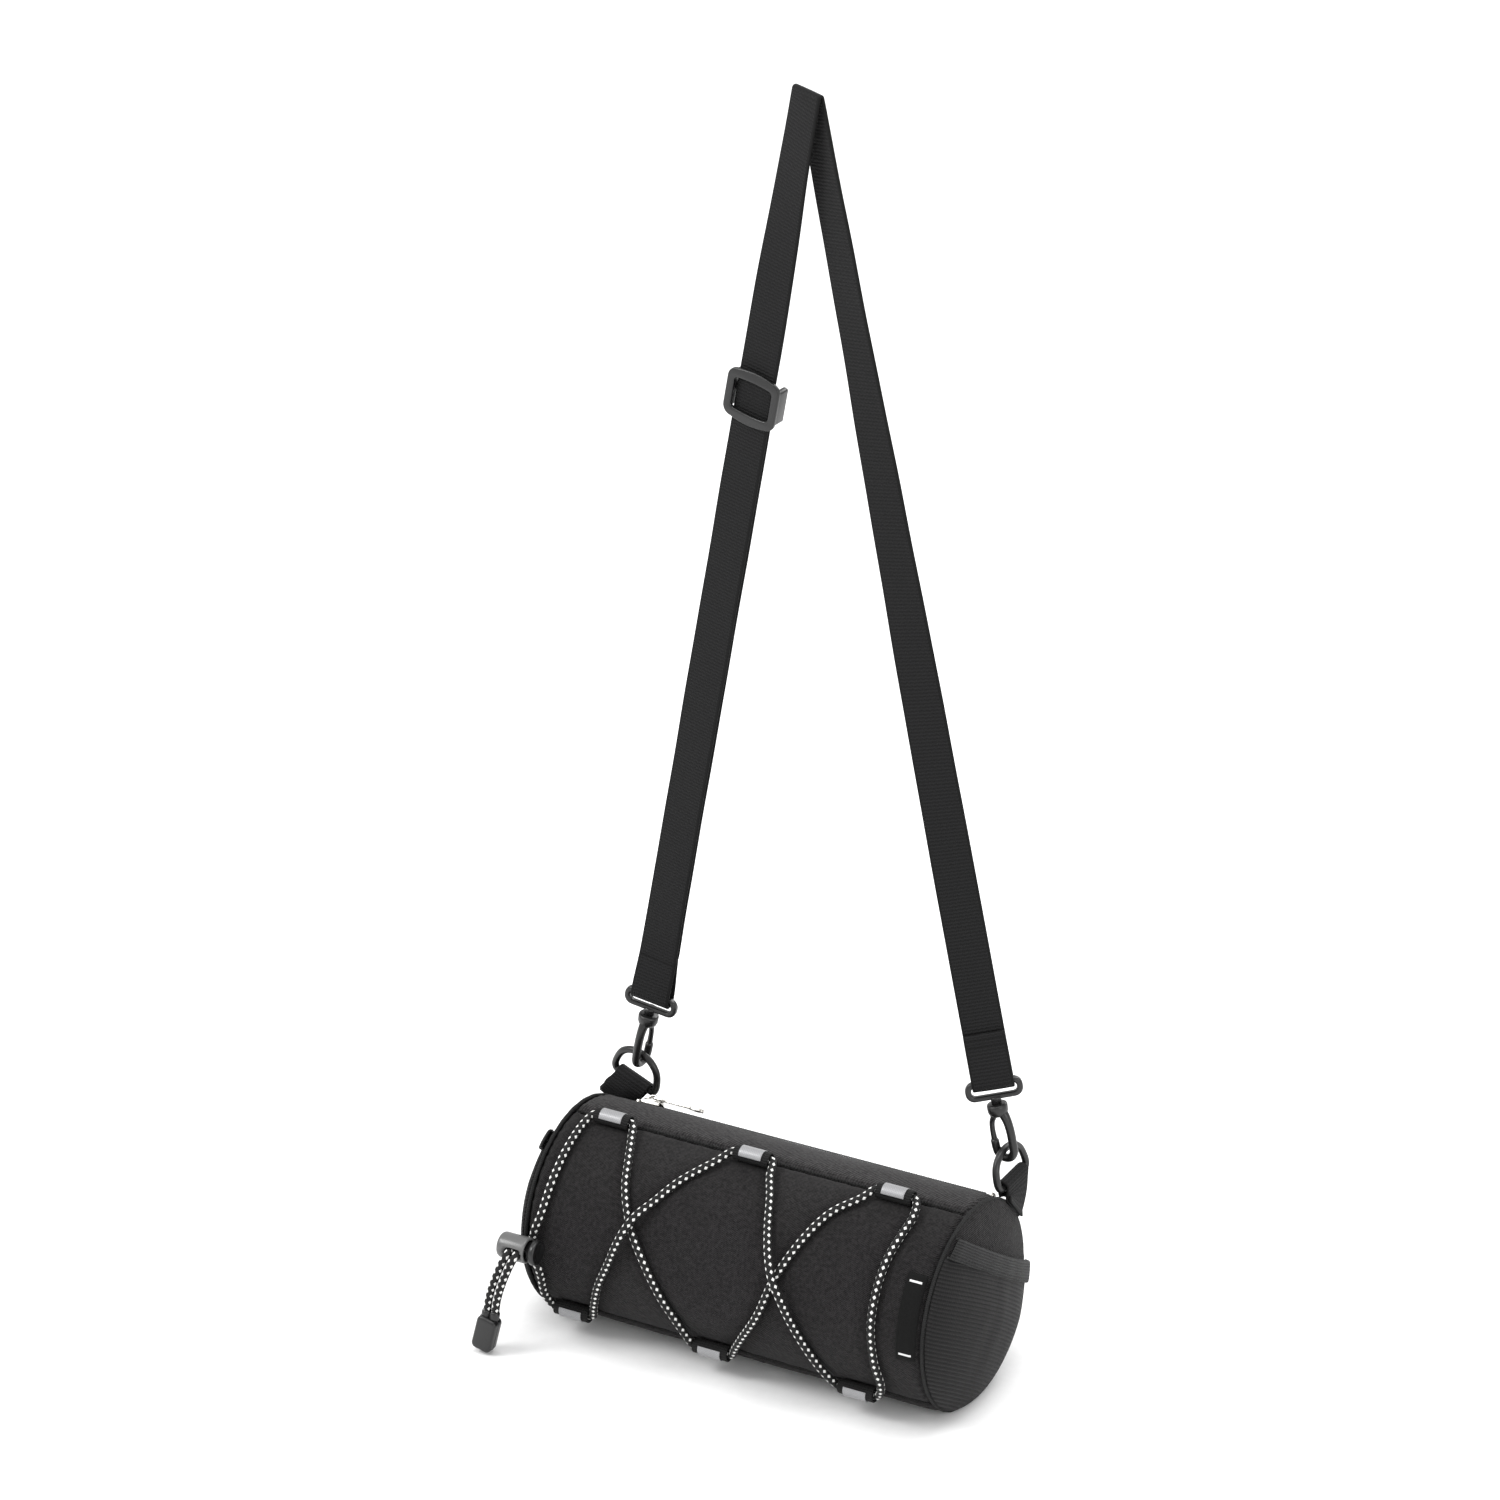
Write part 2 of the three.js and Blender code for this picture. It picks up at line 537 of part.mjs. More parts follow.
function buildHook(side) {
  const frame = frameAt(vec(EYES[side]), hookDirection(side), ACROSS[side].hook);
  const collar = barrel(-13.6, -7.4, 5, 1).rotateY(-Math.PI / 2);
  const curve = [new THREE.Vector3(-2.2, 0, -11), new THREE.Vector3(-4, 0, -15),
    new THREE.Vector3(-4.9, 0, -21),
    new THREE.Vector3(-5, 0, -HOOK_DROP + 3)];
  for (let i = 0; i <= 6; i += 1) {
    const turn = Math.PI * (1 + i / 6);
    curve.push(new THREE.Vector3(4.9 * Math.cos(turn), 0, -HOOK_DROP + 4.9 * Math.sin(turn)));
  }
  curve.push(new THREE.Vector3(5.1, 0, -HOOK_DROP + 3.5));
  const hook = unite(collar, tube(curve, 2.1, 26, 10));
  add(`hook_${side}`, hook.applyMatrix4(frame), 'plastic');
  const gate = tube([new THREE.Vector3(3, 0, -14.1), new THREE.Vector3(4.6, 0, -17.5),
    new THREE.Vector3(5.2, 0, -21.5),
    new THREE.Vector3(5.1, 0, -HOOK_DROP + 4.6)], 1.5, 8, 8);
  add(`hook_gate_${side}`, gate.applyMatrix4(frame), 'metal');

  const twist = THREE.MathUtils.degToRad(ACROSS[side].strap);
  const eyeFrame = frameAt(vec(EYES[side]), hookDirection(side),
    new THREE.Vector3(Math.cos(twist), Math.sin(twist), 0));
  const rim = extrudeY(rounded(27.4, 10, 4.2), -1.8, 1.8);
  const slot = extrudeY(rounded(21.6, 4.9, 2), -4, 4);
  const stub = new THREE.CylinderGeometry(2.4, 2.4, 3, 16).rotateX(Math.PI / 2).translate(0, 0, -5.6);
  const eye = unite(subtract(rim, slot), stub);
  add(`hook_eye_${side}`, eye.applyMatrix4(eyeFrame), 'plastic');
}

// The middle of the eye's bar that the strap turns round.
function eyeBar(side) {
  return vec(EYES[side]).addScaledVector(hookDirection(side), 3.7);
}

// How far the strap is turned about the vertical at a share of the way from an eye to the top.
function strapTurn(side, share) {
  const smooth = (t) => t * t * (3 - 2 * t);
  const start = ACROSS[side].strap;
  if (side === 'right') return start + (TOP_TURN - start) * smooth(share);
  if (share < 0.12) return start + (SLIDER_TURN - start) * smooth(share / 0.12);
  if (share < 0.72) return SLIDER_TURN;
  return SLIDER_TURN + (TOP_TURN - SLIDER_TURN) * smooth((share - 0.72) / 0.28);
}

// Strap station at a share of the way from an eye's bar (0) to the top fold (1).
function strapStation(side, share, offset) {
  const from = eyeBar(side);
  const to = vec(STRAP_TOP);
  const along = to.clone().sub(from).normalize();
  const turn = THREE.MathUtils.degToRad(strapTurn(side, share));
  const across = new THREE.Vector3(Math.cos(turn), Math.sin(turn), 0);
  across.addScaledVector(along, -across.dot(along)).normalize();
  const out = along.clone().cross(across).normalize();
  const at = from.clone().lerp(to, share).addScaledVector(out, offset);
  return { at, across, out };
}

// Two layers stand apart by the thickness of the bar, then close up above it.
function layerOffset(share) {
  const t = Math.min(1, share / 0.05);
  const close = WRAP_RADIUS + (LAYER - WRAP_RADIUS) * t * t * (3 - 2 * t);
  return close + (FOLD - LAYER) * Math.max(0, (share - 0.9) / 0.1);
}

// Stations of one layer: layer -1 lies in front and 1 behind.
function layerStations(side, shares, layer) {
  return shares.map((share) => {
    const station = strapStation(side, share, layer * layerOffset(share));
    return { ...station, out: station.out.multiplyScalar(layer) };
  });
}

// The half turn of the webbing round a bar, starting on one layer and ending on the other.
function halfTurn(centre, across, first, middle, radius) {
  const stations = [];
  for (let i = 1; i < 8; i += 1) {
    const turn = Math.PI * i / 8;
    const out = first.clone().multiplyScalar(Math.cos(turn)).addScaledVector(middle, Math.sin(turn));
    stations.push({ at: centre.clone().addScaledVector(out, radius), across, out });
  }
  return stations;
}

function eyeTurn(side, layer) {
  const start = strapStation(side, 0, 0);
  const down = hookDirection(side).negate();
  return halfTurn(start.at, start.across, start.out.multiplyScalar(layer), down, WRAP_RADIUS);
}

function topFold() {
  const turn = THREE.MathUtils.degToRad(TOP_TURN);
  const across = new THREE.Vector3(Math.cos(turn), Math.sin(turn), 0);
  const up = new THREE.Vector3(0, 0, 1);
  return halfTurn(vec(STRAP_TOP), across, up.clone().cross(across), up, FOLD);
}

function buildStrap() {
  const byBar = [0, 0.012, 0.025, 0.037, 0.05];
  const strand = [...byBar, 0.065, 0.08, 0.1, 0.12, 0.2, 0.3, 0.4, 0.5, 0.6, 0.7, 0.76, 0.82, 0.88, 0.94,
    0.985];
  const sewn = [0.045, 0.035, 0.025, 0.012, 0];
  const stations = [
    ...layerStations('right', sewn, -1),
    ...eyeTurn('right', -1),
    ...layerStations('right', strand, 1),
    ...topFold(),
    ...layerStations('left', strand.slice().reverse(), -1),
    ...eyeTurn('left', -1),
    ...layerStations('left', byBar, 1),
  ];
  add('strap', ribbon(stations, WEB_WIDTH, WEB_THICK), 'webbing');
  const doubled = [0.0506, 0.065, 0.08, 0.1, 0.12, 0.2, 0.3, 0.4, 0.5, 0.6, SLIDER_SHARE + 0.012];
  add('strap_return', ribbon(layerStations('left', doubled, 1), WEB_WIDTH, WEB_THICK), 'webbing');
}

function buildTriGlide() {
  const station = strapStation('left', SLIDER_SHARE, 0);
  const frame = frameAt(station.at, hookDirection('left'), station.across);
  const plate = extrudeY(rounded(28.6, 27, 4.5), -4.4, -2.4);
  const window = extrudeY(rounded(20.6, 16.4, 1.6), -6, 0);
  const rail = box(10.7, 13.9, -4.4, 4.4, -9, 9);
  const bar = box(-12, 12, 2.6, 4.4, -2.3, 2.3);
  const glide = unite(subtract(plate, window), rail, rail.clone().translate(-24.6, 0, 0), bar);
  add('tri_glide', glide.applyMatrix4(frame), 'plastic');
}

buildBody();
buildEnds();
buildZip();
buildLoops();
buildLacing();
buildLock();
buildLabel();
for (const side of ['left', 'right']) {
  buildTab(side);
  buildRing(side);
  buildHook(side);
}
buildStrap();
buildTriGlide();

export default group;
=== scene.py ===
# Barrel bag with shock-cord lacing and shoulder strap: the looks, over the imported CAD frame.
# Lengths in the tables below are millimetres, turned into metres by mm(); angles round the body
# run from the top (0) towards the laced front (+).
import json
import math

import bmesh
import bpy
import numpy as np
from mathutils import Matrix, Vector, noise


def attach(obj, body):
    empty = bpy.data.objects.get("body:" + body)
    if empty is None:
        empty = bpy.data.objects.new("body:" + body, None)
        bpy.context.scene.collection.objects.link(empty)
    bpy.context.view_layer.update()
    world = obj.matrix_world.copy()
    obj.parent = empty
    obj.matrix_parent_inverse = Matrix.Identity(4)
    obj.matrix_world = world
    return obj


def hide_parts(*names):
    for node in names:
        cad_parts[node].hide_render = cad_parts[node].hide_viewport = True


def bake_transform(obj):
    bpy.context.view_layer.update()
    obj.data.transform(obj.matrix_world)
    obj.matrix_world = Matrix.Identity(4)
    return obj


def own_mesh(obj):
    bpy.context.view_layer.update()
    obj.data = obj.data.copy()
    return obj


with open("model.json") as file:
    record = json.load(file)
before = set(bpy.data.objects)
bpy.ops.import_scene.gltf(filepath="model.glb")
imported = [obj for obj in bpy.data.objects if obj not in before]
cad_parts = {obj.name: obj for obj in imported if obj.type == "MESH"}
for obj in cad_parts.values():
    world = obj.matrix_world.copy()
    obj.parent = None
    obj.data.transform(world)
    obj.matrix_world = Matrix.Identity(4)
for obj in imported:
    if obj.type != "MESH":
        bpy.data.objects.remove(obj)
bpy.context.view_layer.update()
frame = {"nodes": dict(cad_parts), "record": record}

# ---- driving dimensions, the same as the CAD's ----
RADIUS = 51.5
AXIS_HEIGHT = 48.5
HALF_LENGTH = 103.0
LEFT_LENGTH = 109.0
END_BULGE = 8.0
YOKE_SEAM = 6.0
BASE_SEAM_FRONT = 134.0
BASE_SEAM_BACK = 218.0
YOKE_SEAM_BACK = 292.0
ZIP_ANGLE = -41.0
ZIP_HALF_ANGLE = 9.0
CORD_RADIUS = 1.9
LACE_RADIUS = RADIUS + 0.5 + CORD_RADIUS
LOOP_RADIUS = RADIUS + 4.0
TOP_LOOPS = [-84, -8, 68]
BOTTOM_LOOPS = [-88, -12, 66]
TOP_LOOP_ANGLE = 11.0
BOTTOM_LOOP_ANGLE = 129.0
LOOP_WIDTH = 19.0
WEB_WIDTH = 20.0
WEB_THICK = 1.4
STRAP_TOP = Vector((-2, 28.5, 620))
EYES = {"left": Vector((-92.4, 40.6, 141)), "right": Vector((92.4, 40.6, 141))}
BARS = {"left": Vector((-103.5, 43, 94.5)), "right": Vector((102, 43, 95))}
RING_ACROSS = {"left": Vector((0.98, -0.1, -0.18)), "right": Vector((0.1, 1, 0))}
HOOK_ACROSS = {"left": Vector((0.1, 1, 0)), "right": Vector((-1, 0.1, 0))}
TAB_FOOT = {"left": 0.45, "right": 0.0}
STRAP_TURN = {"left": 5.0, "right": 29.0}
TOP_TURN = -24.0
SLIDER_TURN = -5.0
SLIDER_SHARE = 0.681
WRAP_RADIUS = 3.2
LAYER = 0.95
FOLD = 1.1
HOOK_DROP = 31.0
TAB_ANGLE = -47.0
ZIP_SLIDER_X = -88.5
LOCK = Vector((-106.5, -62.3, 52))
TAIL_SPACING = 2.2
MOUTH_SLANT = math.radians(33)

# ---- camera ----
CAMERA_AZIMUTH = 28.8
CAMERA_ELEVATION = 29.3
CAMERA_DISTANCE = 3.2
LENS = 161.3
AIM_LEFT = 0.28          # degrees the camera is turned away from the bag's middle
AIM_UP = 4.27


def mm(value):
    return value * 0.001


def direction_back(azimuth, elevation):
    a = math.radians(azimuth)
    e = math.radians(elevation)
    return Vector((math.sin(a) * math.cos(e), -math.cos(a) * math.cos(e), math.sin(e)))


def make_camera():
    data = bpy.data.cameras.new("camera")
    data.lens = LENS
    data.sensor_width = 36.0
    data.clip_end = 20.0
    camera = bpy.data.objects.new("camera", data)
    bpy.context.collection.objects.link(camera)
    target = Vector((0, 0, mm(AXIS_HEIGHT)))
    camera.location = target + direction_back(CAMERA_AZIMUTH, CAMERA_ELEVATION) * CAMERA_DISTANCE
    aim = direction_back(CAMERA_AZIMUTH + AIM_LEFT, CAMERA_ELEVATION - AIM_UP)
    camera.rotation_mode = "QUATERNION"
    camera.rotation_quaternion = (-aim).to_track_quat("-Z", "Y")
    bpy.context.scene.camera = camera


# ---- material helpers ----
class Nodes:
    """Builds one material's node tree."""

    def __init__(self, name):
        self.material = bpy.data.materials.new(name)
        self.material.use_nodes = True
        self.tree = self.material.node_tree
        self.shader = self.tree.nodes["Principled BSDF"]

    def add(self, kind, **values):
        node = self.tree.nodes.new(kind)
        for key, value in values.items():
            setattr(node, key, value)
        return node

    def link(self, a, b):
        self.tree.links.new(a, b)

    def math(self, operation, a, b=None, c=None):
        node = self.add("ShaderNodeMath", operation=operation)
        for index, value in enumerate((a, b, c)):
            if value is None:
                continue
            if isinstance(value, (int, float)):
                node.inputs[index].default_value = value
            else:
                self.link(value, node.inputs[index])
        return node.outputs[0]

    def plus(self, a, b):
        return self.math("ADD", a, b)

    def minus(self, a, b):
        return self.math("SUBTRACT", a, b)

    def times(self, a, b):
        return self.math("MULTIPLY", a, b)

    def scaled(self, a, factor, offset):
        return self.math("MULTIPLY_ADD", a, factor, offset)

    def size(self, a):
        return self.math("ABSOLUTE", a)

    def below(self, a, limit):
        return self.math("LESS_THAN", a, limit)

    def uv(self):
        node = self.add("ShaderNodeUVMap", uv_map="UVMap")
        split = self.add("ShaderNodeSeparateXYZ")
        self.link(node.outputs[0], split.inputs[0])
        return split.outputs[0], split.outputs[1]

    def noise(self, scale, detail):
        node = self.add("ShaderNodeTexNoise")
        node.inputs["Scale"].default_value = scale
        node.inputs["Detail"].default_value = detail
        self.link(self.add("ShaderNodeTexCoord").outputs["Object"], node.inputs["Vector"])
        return node.outputs["Fac"]

    def stripes(self, coordinate, period):
        """A smooth wave from 0 to 1 along a coordinate in metres."""
        turn = self.times(coordinate, 2 * math.pi / period)
        return self.scaled(self.math("SINE", turn), 0.5, 0.5)

    def mix(self, factor, dark, light):
        ramp = self.add("ShaderNodeMix", data_type="RGBA")
        self.link(factor, ramp.inputs["Factor"])
        ramp.inputs["A"].default_value = (*dark, 1)
        ramp.inputs["B"].default_value = (*light, 1)
        return ramp.outputs["Result"]

    def colour(self, socket):
        self.link(socket, self.shader.inputs["Base Color"])

    def bump(self, height, distance):
        node = self.add("ShaderNodeBump")
        node.inputs["Distance"].default_value = distance
        self.link(height, node.inputs["Height"])
        self.link(node.outputs[0], self.shader.inputs["Normal"])

    def set(self, **values):
        names = {"roughness": "Roughness", "metallic": "Metallic", "sheen": "Sheen Weight",
                 "sheen_roughness": "Sheen Roughness", "specular": "Specular IOR Level"}
        for key, value in values.items():
            self.shader.inputs[names[key]].default_value = value


def grey(value):
    return value, value, value


def twill_material(name, dark, light, along_y=False, wale=0.0011, sheen=0.03):
    """Fine diagonal twill over UVs in metres, with slubs and slow colour variation."""
    n = Nodes(name)
    u, v = n.uv()
    lean = 0.35 if along_y else 1.0
    diagonal = n.plus(u, n.times(v, lean))
    ribs = n.stripes(diagonal, wale)
    picks = n.stripes(v, wale * 0.8)
    weave = n.scaled(picks, 0.35, n.times(ribs, 0.65))
    slub = n.noise(620.0, 2.0)
    cloud = n.noise(28.0, 3.0)
    height = n.plus(weave, n.times(slub, 1.2))
    tone = n.scaled(slub, 2.1, n.scaled(weave, 0.6, n.times(cloud, 0.3)))
    n.colour(n.mix(n.minus(tone, 1.0), dark, light))
    n.bump(height, 0.00045)
    n.set(roughness=0.82, sheen=sheen, sheen_roughness=0.45, specular=0.2)
    return n.material


def webbing_material(name, period=0.00175, dark=grey(0.0015), light=(0.0115, 0.0115, 0.012), edge=0.0088):
    """Ribbed webbing: ribs across, fine yarns along it and a smooth selvedge. U runs along it, V across."""
    n = Nodes(name)
    u, v = n.uv()
    side = n.size(v)
    inner = n.below(side, edge)
    wobble = n.times(n.stripes(v, 0.0024), 0.00028)
    ribs = n.stripes(n.plus(u, wobble), period)
    yarns = n.stripes(v, 0.0009)
    body = n.times(n.scaled(yarns, 0.3, n.times(ribs, 0.9)), inner)
    grain = n.noise(1300.0, 2.0)
    height = n.plus(body, n.times(grain, 0.35))
    n.colour(n.mix(n.times(height, 0.6), dark, light))
    n.bump(height, 0.00028)
    n.set(roughness=0.75, sheen=0.015, sheen_roughness=0.4, specular=0.2)
    return n.material


def knit_material(name):
    """Ribbed stretch cloth with its ribs along U."""
    period = 0.0019
    n = Nodes(name)
    u, v = n.uv()
    ribs = n.stripes(v, period)
    stitch = n.times(n.stripes(u, 0.0011), n.stripes(v, period / 2))
    grain = n.noise(1100.0, 2.0)
    height = n.plus(n.scaled(stitch, 0.3, ribs), n.times(grain, 0.3))
    n.colour(n.mix(n.times(height, 0.55), grey(0.003), (0.022, 0.021, 0.0215)))
    n.bump(height, 0.00045)
    n.set(roughness=0.8, sheen=0.04, sheen_roughness=0.4, specular=0.2)
    return n.material


def elastic_material(name):
    """Ribbed elastic band, its ribs along U, with a row of dark stitches near its lower edge."""
    n = Nodes(name)
    u, v = n.uv()
    gap = n.size(n.plus(v, 0.0031))
    dashes = n.math("GREATER_THAN", n.stripes(u, 0.0026), 0.35)
    rows = n.times(n.below(gap, 0.00035), dashes)
    yarns = n.stripes(v, 0.0013)
    picks = n.stripes(u, 0.0007)
    grain = n.noise(1500.0, 2.0)
    height = n.plus(n.scaled(yarns, 1.1, grain), n.times(picks, 0.25))
    tone = n.minus(n.times(height, 0.4), n.times(rows, 0.8))
    n.colour(n.mix(tone, grey(0.004), grey(0.03)))
    n.bump(height, 0.0003)
    n.set(roughness=0.85, sheen=0.06, sheen_roughness=0.4, specular=0.25)
    return n.material


def cord_material(name):
    """Braided black cord with staggered white tracer dots. U is metres along it, V turns round it."""
    period = 0.0035
    n = Nodes(name)
    u, v = n.uv()
    turns = n.times(v, 4.0)
    stagger = n.times(n.math("MODULO", n.math("FLOOR", turns), 2.0), 0.5)
    along = n.minus(n.math("FRACT", n.plus(n.math("DIVIDE", u, period), stagger)), 0.5)
    around = n.minus(n.math("FRACT", turns), 0.5)
    far = n.plus(n.size(n.math("DIVIDE", along, 0.29)),
                 n.size(n.math("DIVIDE", around, 0.3)))
    dot = n.below(far, 1.0)
    one = n.plus(n.math("DIVIDE", u, 0.0017), n.times(v, 8.0))
    two = n.minus(n.math("DIVIDE", u, 0.0017), n.times(v, 8.0))
    braid = n.math("MAXIMUM", n.math("SINE", n.times(one, 2 * math.pi)),
                   n.math("SINE", n.times(two, 2 * math.pi)))
    height = n.plus(n.scaled(braid, 0.4, 0.4), n.times(dot, 0.3))
    shade = n.mix(n.scaled(braid, 0.3, 0.3), grey(0.002), grey(0.012))
    mix = n.add("ShaderNodeMix", data_type="RGBA")
    n.link(dot, mix.inputs["Factor"])
    n.link(shade, mix.inputs["A"])
    mix.inputs["B"].default_value = (0.8, 0.8, 0.78, 1)
    n.colour(mix.outputs["Result"])
    n.bump(height, 0.00022)
    n.set(roughness=0.65, sheen=0.02, specular=0.25)
    return n.material


def moulded_material(name, dark, light, roughness, grain=2600.0):
    """Moulded plastic: fine spark texture, and slow patches of tone and shine."""
    n = Nodes(name)
    fine = n.noise(grain, 3.0)
    slow = n.noise(60.0, 2.0)
    n.colour(n.mix(n.scaled(fine, 0.4, n.times(slow, 0.4)), dark, light))
    rough = n.scaled(slow, 0.2, roughness - 0.1)
    n.link(rough, n.shader.inputs["Roughness"])
    n.bump(fine, 0.00004)
    n.set(specular=0.5)
    return n.material


def metal_material(name, colour):
    """Nickel plate with faint scuffs."""
    roughness = 0.22
    n = Nodes(name)
    scuff = n.noise(700.0, 4.0)
    dull = tuple(0.72 * c for c in colour)
    n.colour(n.mix(scuff, dull, colour))
    n.link(n.scaled(scuff, 0.25, roughness - 0.1), n.shader.inputs["Roughness"])
    n.bump(scuff, 0.00002)
    n.set(metallic=1.0)
    return n.material


def reflective_material(name):
    """Silver glass-bead tape with a fine printed diamond grid."""
    n = Nodes(name)
    u, v = n.uv()
    one = n.stripes(n.plus(u, v), 0.0013)
    two = n.stripes(n.minus(u, v), 0.0013)
    grid = n.math("MAXIMUM", n.math("GREATER_THAN", one, 0.9), n.math("GREATER_THAN", two, 0.9))
    bead = n.noise(3000.0, 2.0)
    tone = n.scaled(grid, -0.3, n.scaled(bead, 0.5, 0.55))
    n.colour(n.mix(tone, (0.09, 0.09, 0.093), (0.36, 0.36, 0.37)))
    n.bump(n.plus(bead, grid), 0.00004)
    n.set(roughness=0.38, metallic=0.25, specular=0.6)
    return n.material


def label_material(name):
    """Plain woven satin label with a pale border line near each end; no lettering."""
    n = Nodes(name)
    u, v = n.uv()
    weave = n.times(n.stripes(u, 0.0005), n.stripes(v, 0.0005))
    line = n.below(n.size(n.minus(n.size(u), 0.0172)), 0.0005)
    line = n.times(line, n.below(n.size(v), 0.0032))
    shade = n.math("MAXIMUM", n.times(weave, 0.012), line)
    n.colour(n.mix(shade, grey(0.0015), grey(0.7)))
    n.bump(n.plus(weave, line), 0.0001)
    n.set(roughness=0.7, sheen=0.01, specular=0.12)
    return n.material


def floor_material():
    """Seamless white paper with a barely visible tooth."""
    n = Nodes("white_paper")
    grain = n.noise(220.0, 3.0)
    n.colour(n.mix(grain, grey(0.86), grey(0.92)))
    n.set(roughness=0.7, specular=0.1)
    return n.material


MATERIALS = {}


def make_materials():
    panel_light = (0.020, 0.0185, 0.019)
    # The yoke's two colours are about twice as light as the panel's twill. This is painted light falling on
    # the top of the bag from above, laid over the yoke's own weave and sheen.
    yoke_dark_painted_toplight = (0.007, 0.0065, 0.0068)
    yoke_light_painted_toplight = (0.036, 0.034, 0.0345)
    MATERIALS["panel"] = twill_material("panel_twill", (0.0035, 0.0032, 0.0033), panel_light)
    MATERIALS["yoke"] = twill_material("yoke_twill", yoke_dark_painted_toplight, yoke_light_painted_toplight, True, 0.0014, 0.06)
    MATERIALS["lining"] = twill_material("lining_cloth", (0.03, 0.03, 0.032), (0.07, 0.07, 0.073))
    MATERIALS["webbing"] = webbing_material("ribbed_webbing")
    MATERIALS["loop"] = webbing_material("loop_webbing", 0.0011, grey(0.002), grey(0.012), 0.02)
    MATERIALS["tape"] = webbing_material("zip_tape_weave", 0.0008, grey(0.005), grey(0.02), 0.02)
    MATERIALS["knit"] = knit_material("rib_knit")
    MATERIALS["elastic"] = elastic_material("plush_elastic")
    MATERIALS["cord"] = cord_material("tracer_cord")
    MATERIALS["plastic"] = moulded_material("black_acetal", grey(0.003), (0.011, 0.011, 0.0115), 0.34)
    MATERIALS["satin"] = moulded_material("satin_grey_barrel", grey(0.07), (0.16, 0.16, 0.158), 0.3, 1800.0)
    MATERIALS["coil"] = moulded_material("nylon_coil", grey(0.008), grey(0.02), 0.45)
    MATERIALS["nickel"] = metal_material("nickel_plate", (0.50, 0.485, 0.455))
    MATERIALS["reflector"] = reflective_material("reflective_tape")
    MATERIALS["label"] = label_material("woven_label")
    MATERIALS["floor"] = floor_material()
    MATERIALS["thread"] = webbing_material("black_thread", 0.0009, grey(0.006), grey(0.04), 1.0)


# ---- mesh helpers ----
def grid_object(name, points, uvs, material, closed=False, thickness=0.0):
    """A smooth sheet through points[i][j] in millimetres, with uvs in metres. closed joins the last
    column to the first, and then uvs has one column more. thickness adds a solid wall behind it."""
    rows, columns = points.shape[:2]
    spans = columns if closed else columns - 1
    faces = []
    corners = []
    for i in range(rows - 1):
        for j in range(spans):
            k = (j + 1) % columns
            faces.append((i * columns + j, i * columns + k, (i + 1) * columns + k, (i + 1) * columns + j))
            corners.extend((uvs[i, j], uvs[i, j + 1], uvs[i + 1, j + 1], uvs[i + 1, j]))
    return mesh_object(name, points.reshape(-1, 3), faces, corners, material, thickness)


def mesh_object(name, points, faces, corners, material, thickness):
    mesh = bpy.data.meshes.new(name)
    mesh.from_pydata((np.asarray(points) * 0.001).tolist(), [], faces)
    layer = mesh.uv_layers.new(name="UVMap")
    layer.data.foreach_set("uv", np.asarray(corners, dtype=float)[:, :2].ravel())
    mesh.shade_smooth()
    obj = bpy.data.objects.new(name, mesh)
    bpy.context.collection.objects.link(obj)
    mesh.materials.append(MATERIALS[material])
    if thickness:
        mesh.flip_normals()
        solid = obj.modifiers.new("wall", "SOLIDIFY")
        solid.thickness = mm(thickness)
        solid.offset = -1.0
    return obj


def sampled(rows, columns, at):
    """A sheet's points and uvs: at(row, column) gives a point in millimetres and its uv in metres."""
    pairs = [[at(row, column) for column in columns] for row in rows]
    points = np.array([[point for point, uv in line] for line in pairs])
    uvs = np.array([[uv for point, uv in line] for line in pairs])
    return points, uvs


def smooth_path(points, steps, closed=False):
    """Evenly spaced points on a centripetal Catmull-Rom curve."""
    given = [np.array(p, dtype=float) for p in points]
    if closed:
        given = [given[-1]] + given + given[:2]
    else:
        given = [2 * given[0] - given[1]] + given + [2 * given[-1] - given[-2]]
    dense = []
    for a, b, c, d in zip(given, given[1:], given[2:], given[3:]):
        ta = 0.0
        tb = ta + np.linalg.norm(b - a) ** 0.5
        tc = tb + np.linalg.norm(c - b) ** 0.5
        td = tc + np.linalg.norm(d - c) ** 0.5
        for t in np.linspace(tb, tc, 16, endpoint=False):
            ab = a + (b - a) * (t - ta) / (tb - ta)
            bc = b + (c - b) * (t - tb) / (tc - tb)
            cd = c + (d - c) * (t - tc) / (td - tc)
            abc = ab + (bc - ab) * (t - ta) / (tc - ta)
            bcd = bc + (cd - bc) * (t - tb) / (td - tb)
            dense.append(abc + (bcd - abc) * (t - tb) / (tc - tb))
    dense.append(given[-2])
    dense = np.array(dense)
    lengths = np.concatenate(([0.0], np.cumsum(np.linalg.norm(np.diff(dense, axis=0), axis=1))))
    places = np.linspace(0.0, lengths[-1], steps + 1)
    return np.stack([np.interp(places, lengths, dense[:, k]) for k in range(3)], axis=1)


def unit(vectors):
    vectors = np.asarray(vectors, dtype=float)
    return vectors / np.linalg.norm(vectors, axis=-1, keepdims=True)


def along_path(path):
    """Directions and distances along a path of points."""
    tangent = unit(np.gradient(path, axis=0))
    steps = np.linalg.norm(np.diff(path, axis=0), axis=1)
    return tangent, np.concatenate(([0.0], np.cumsum(steps)))


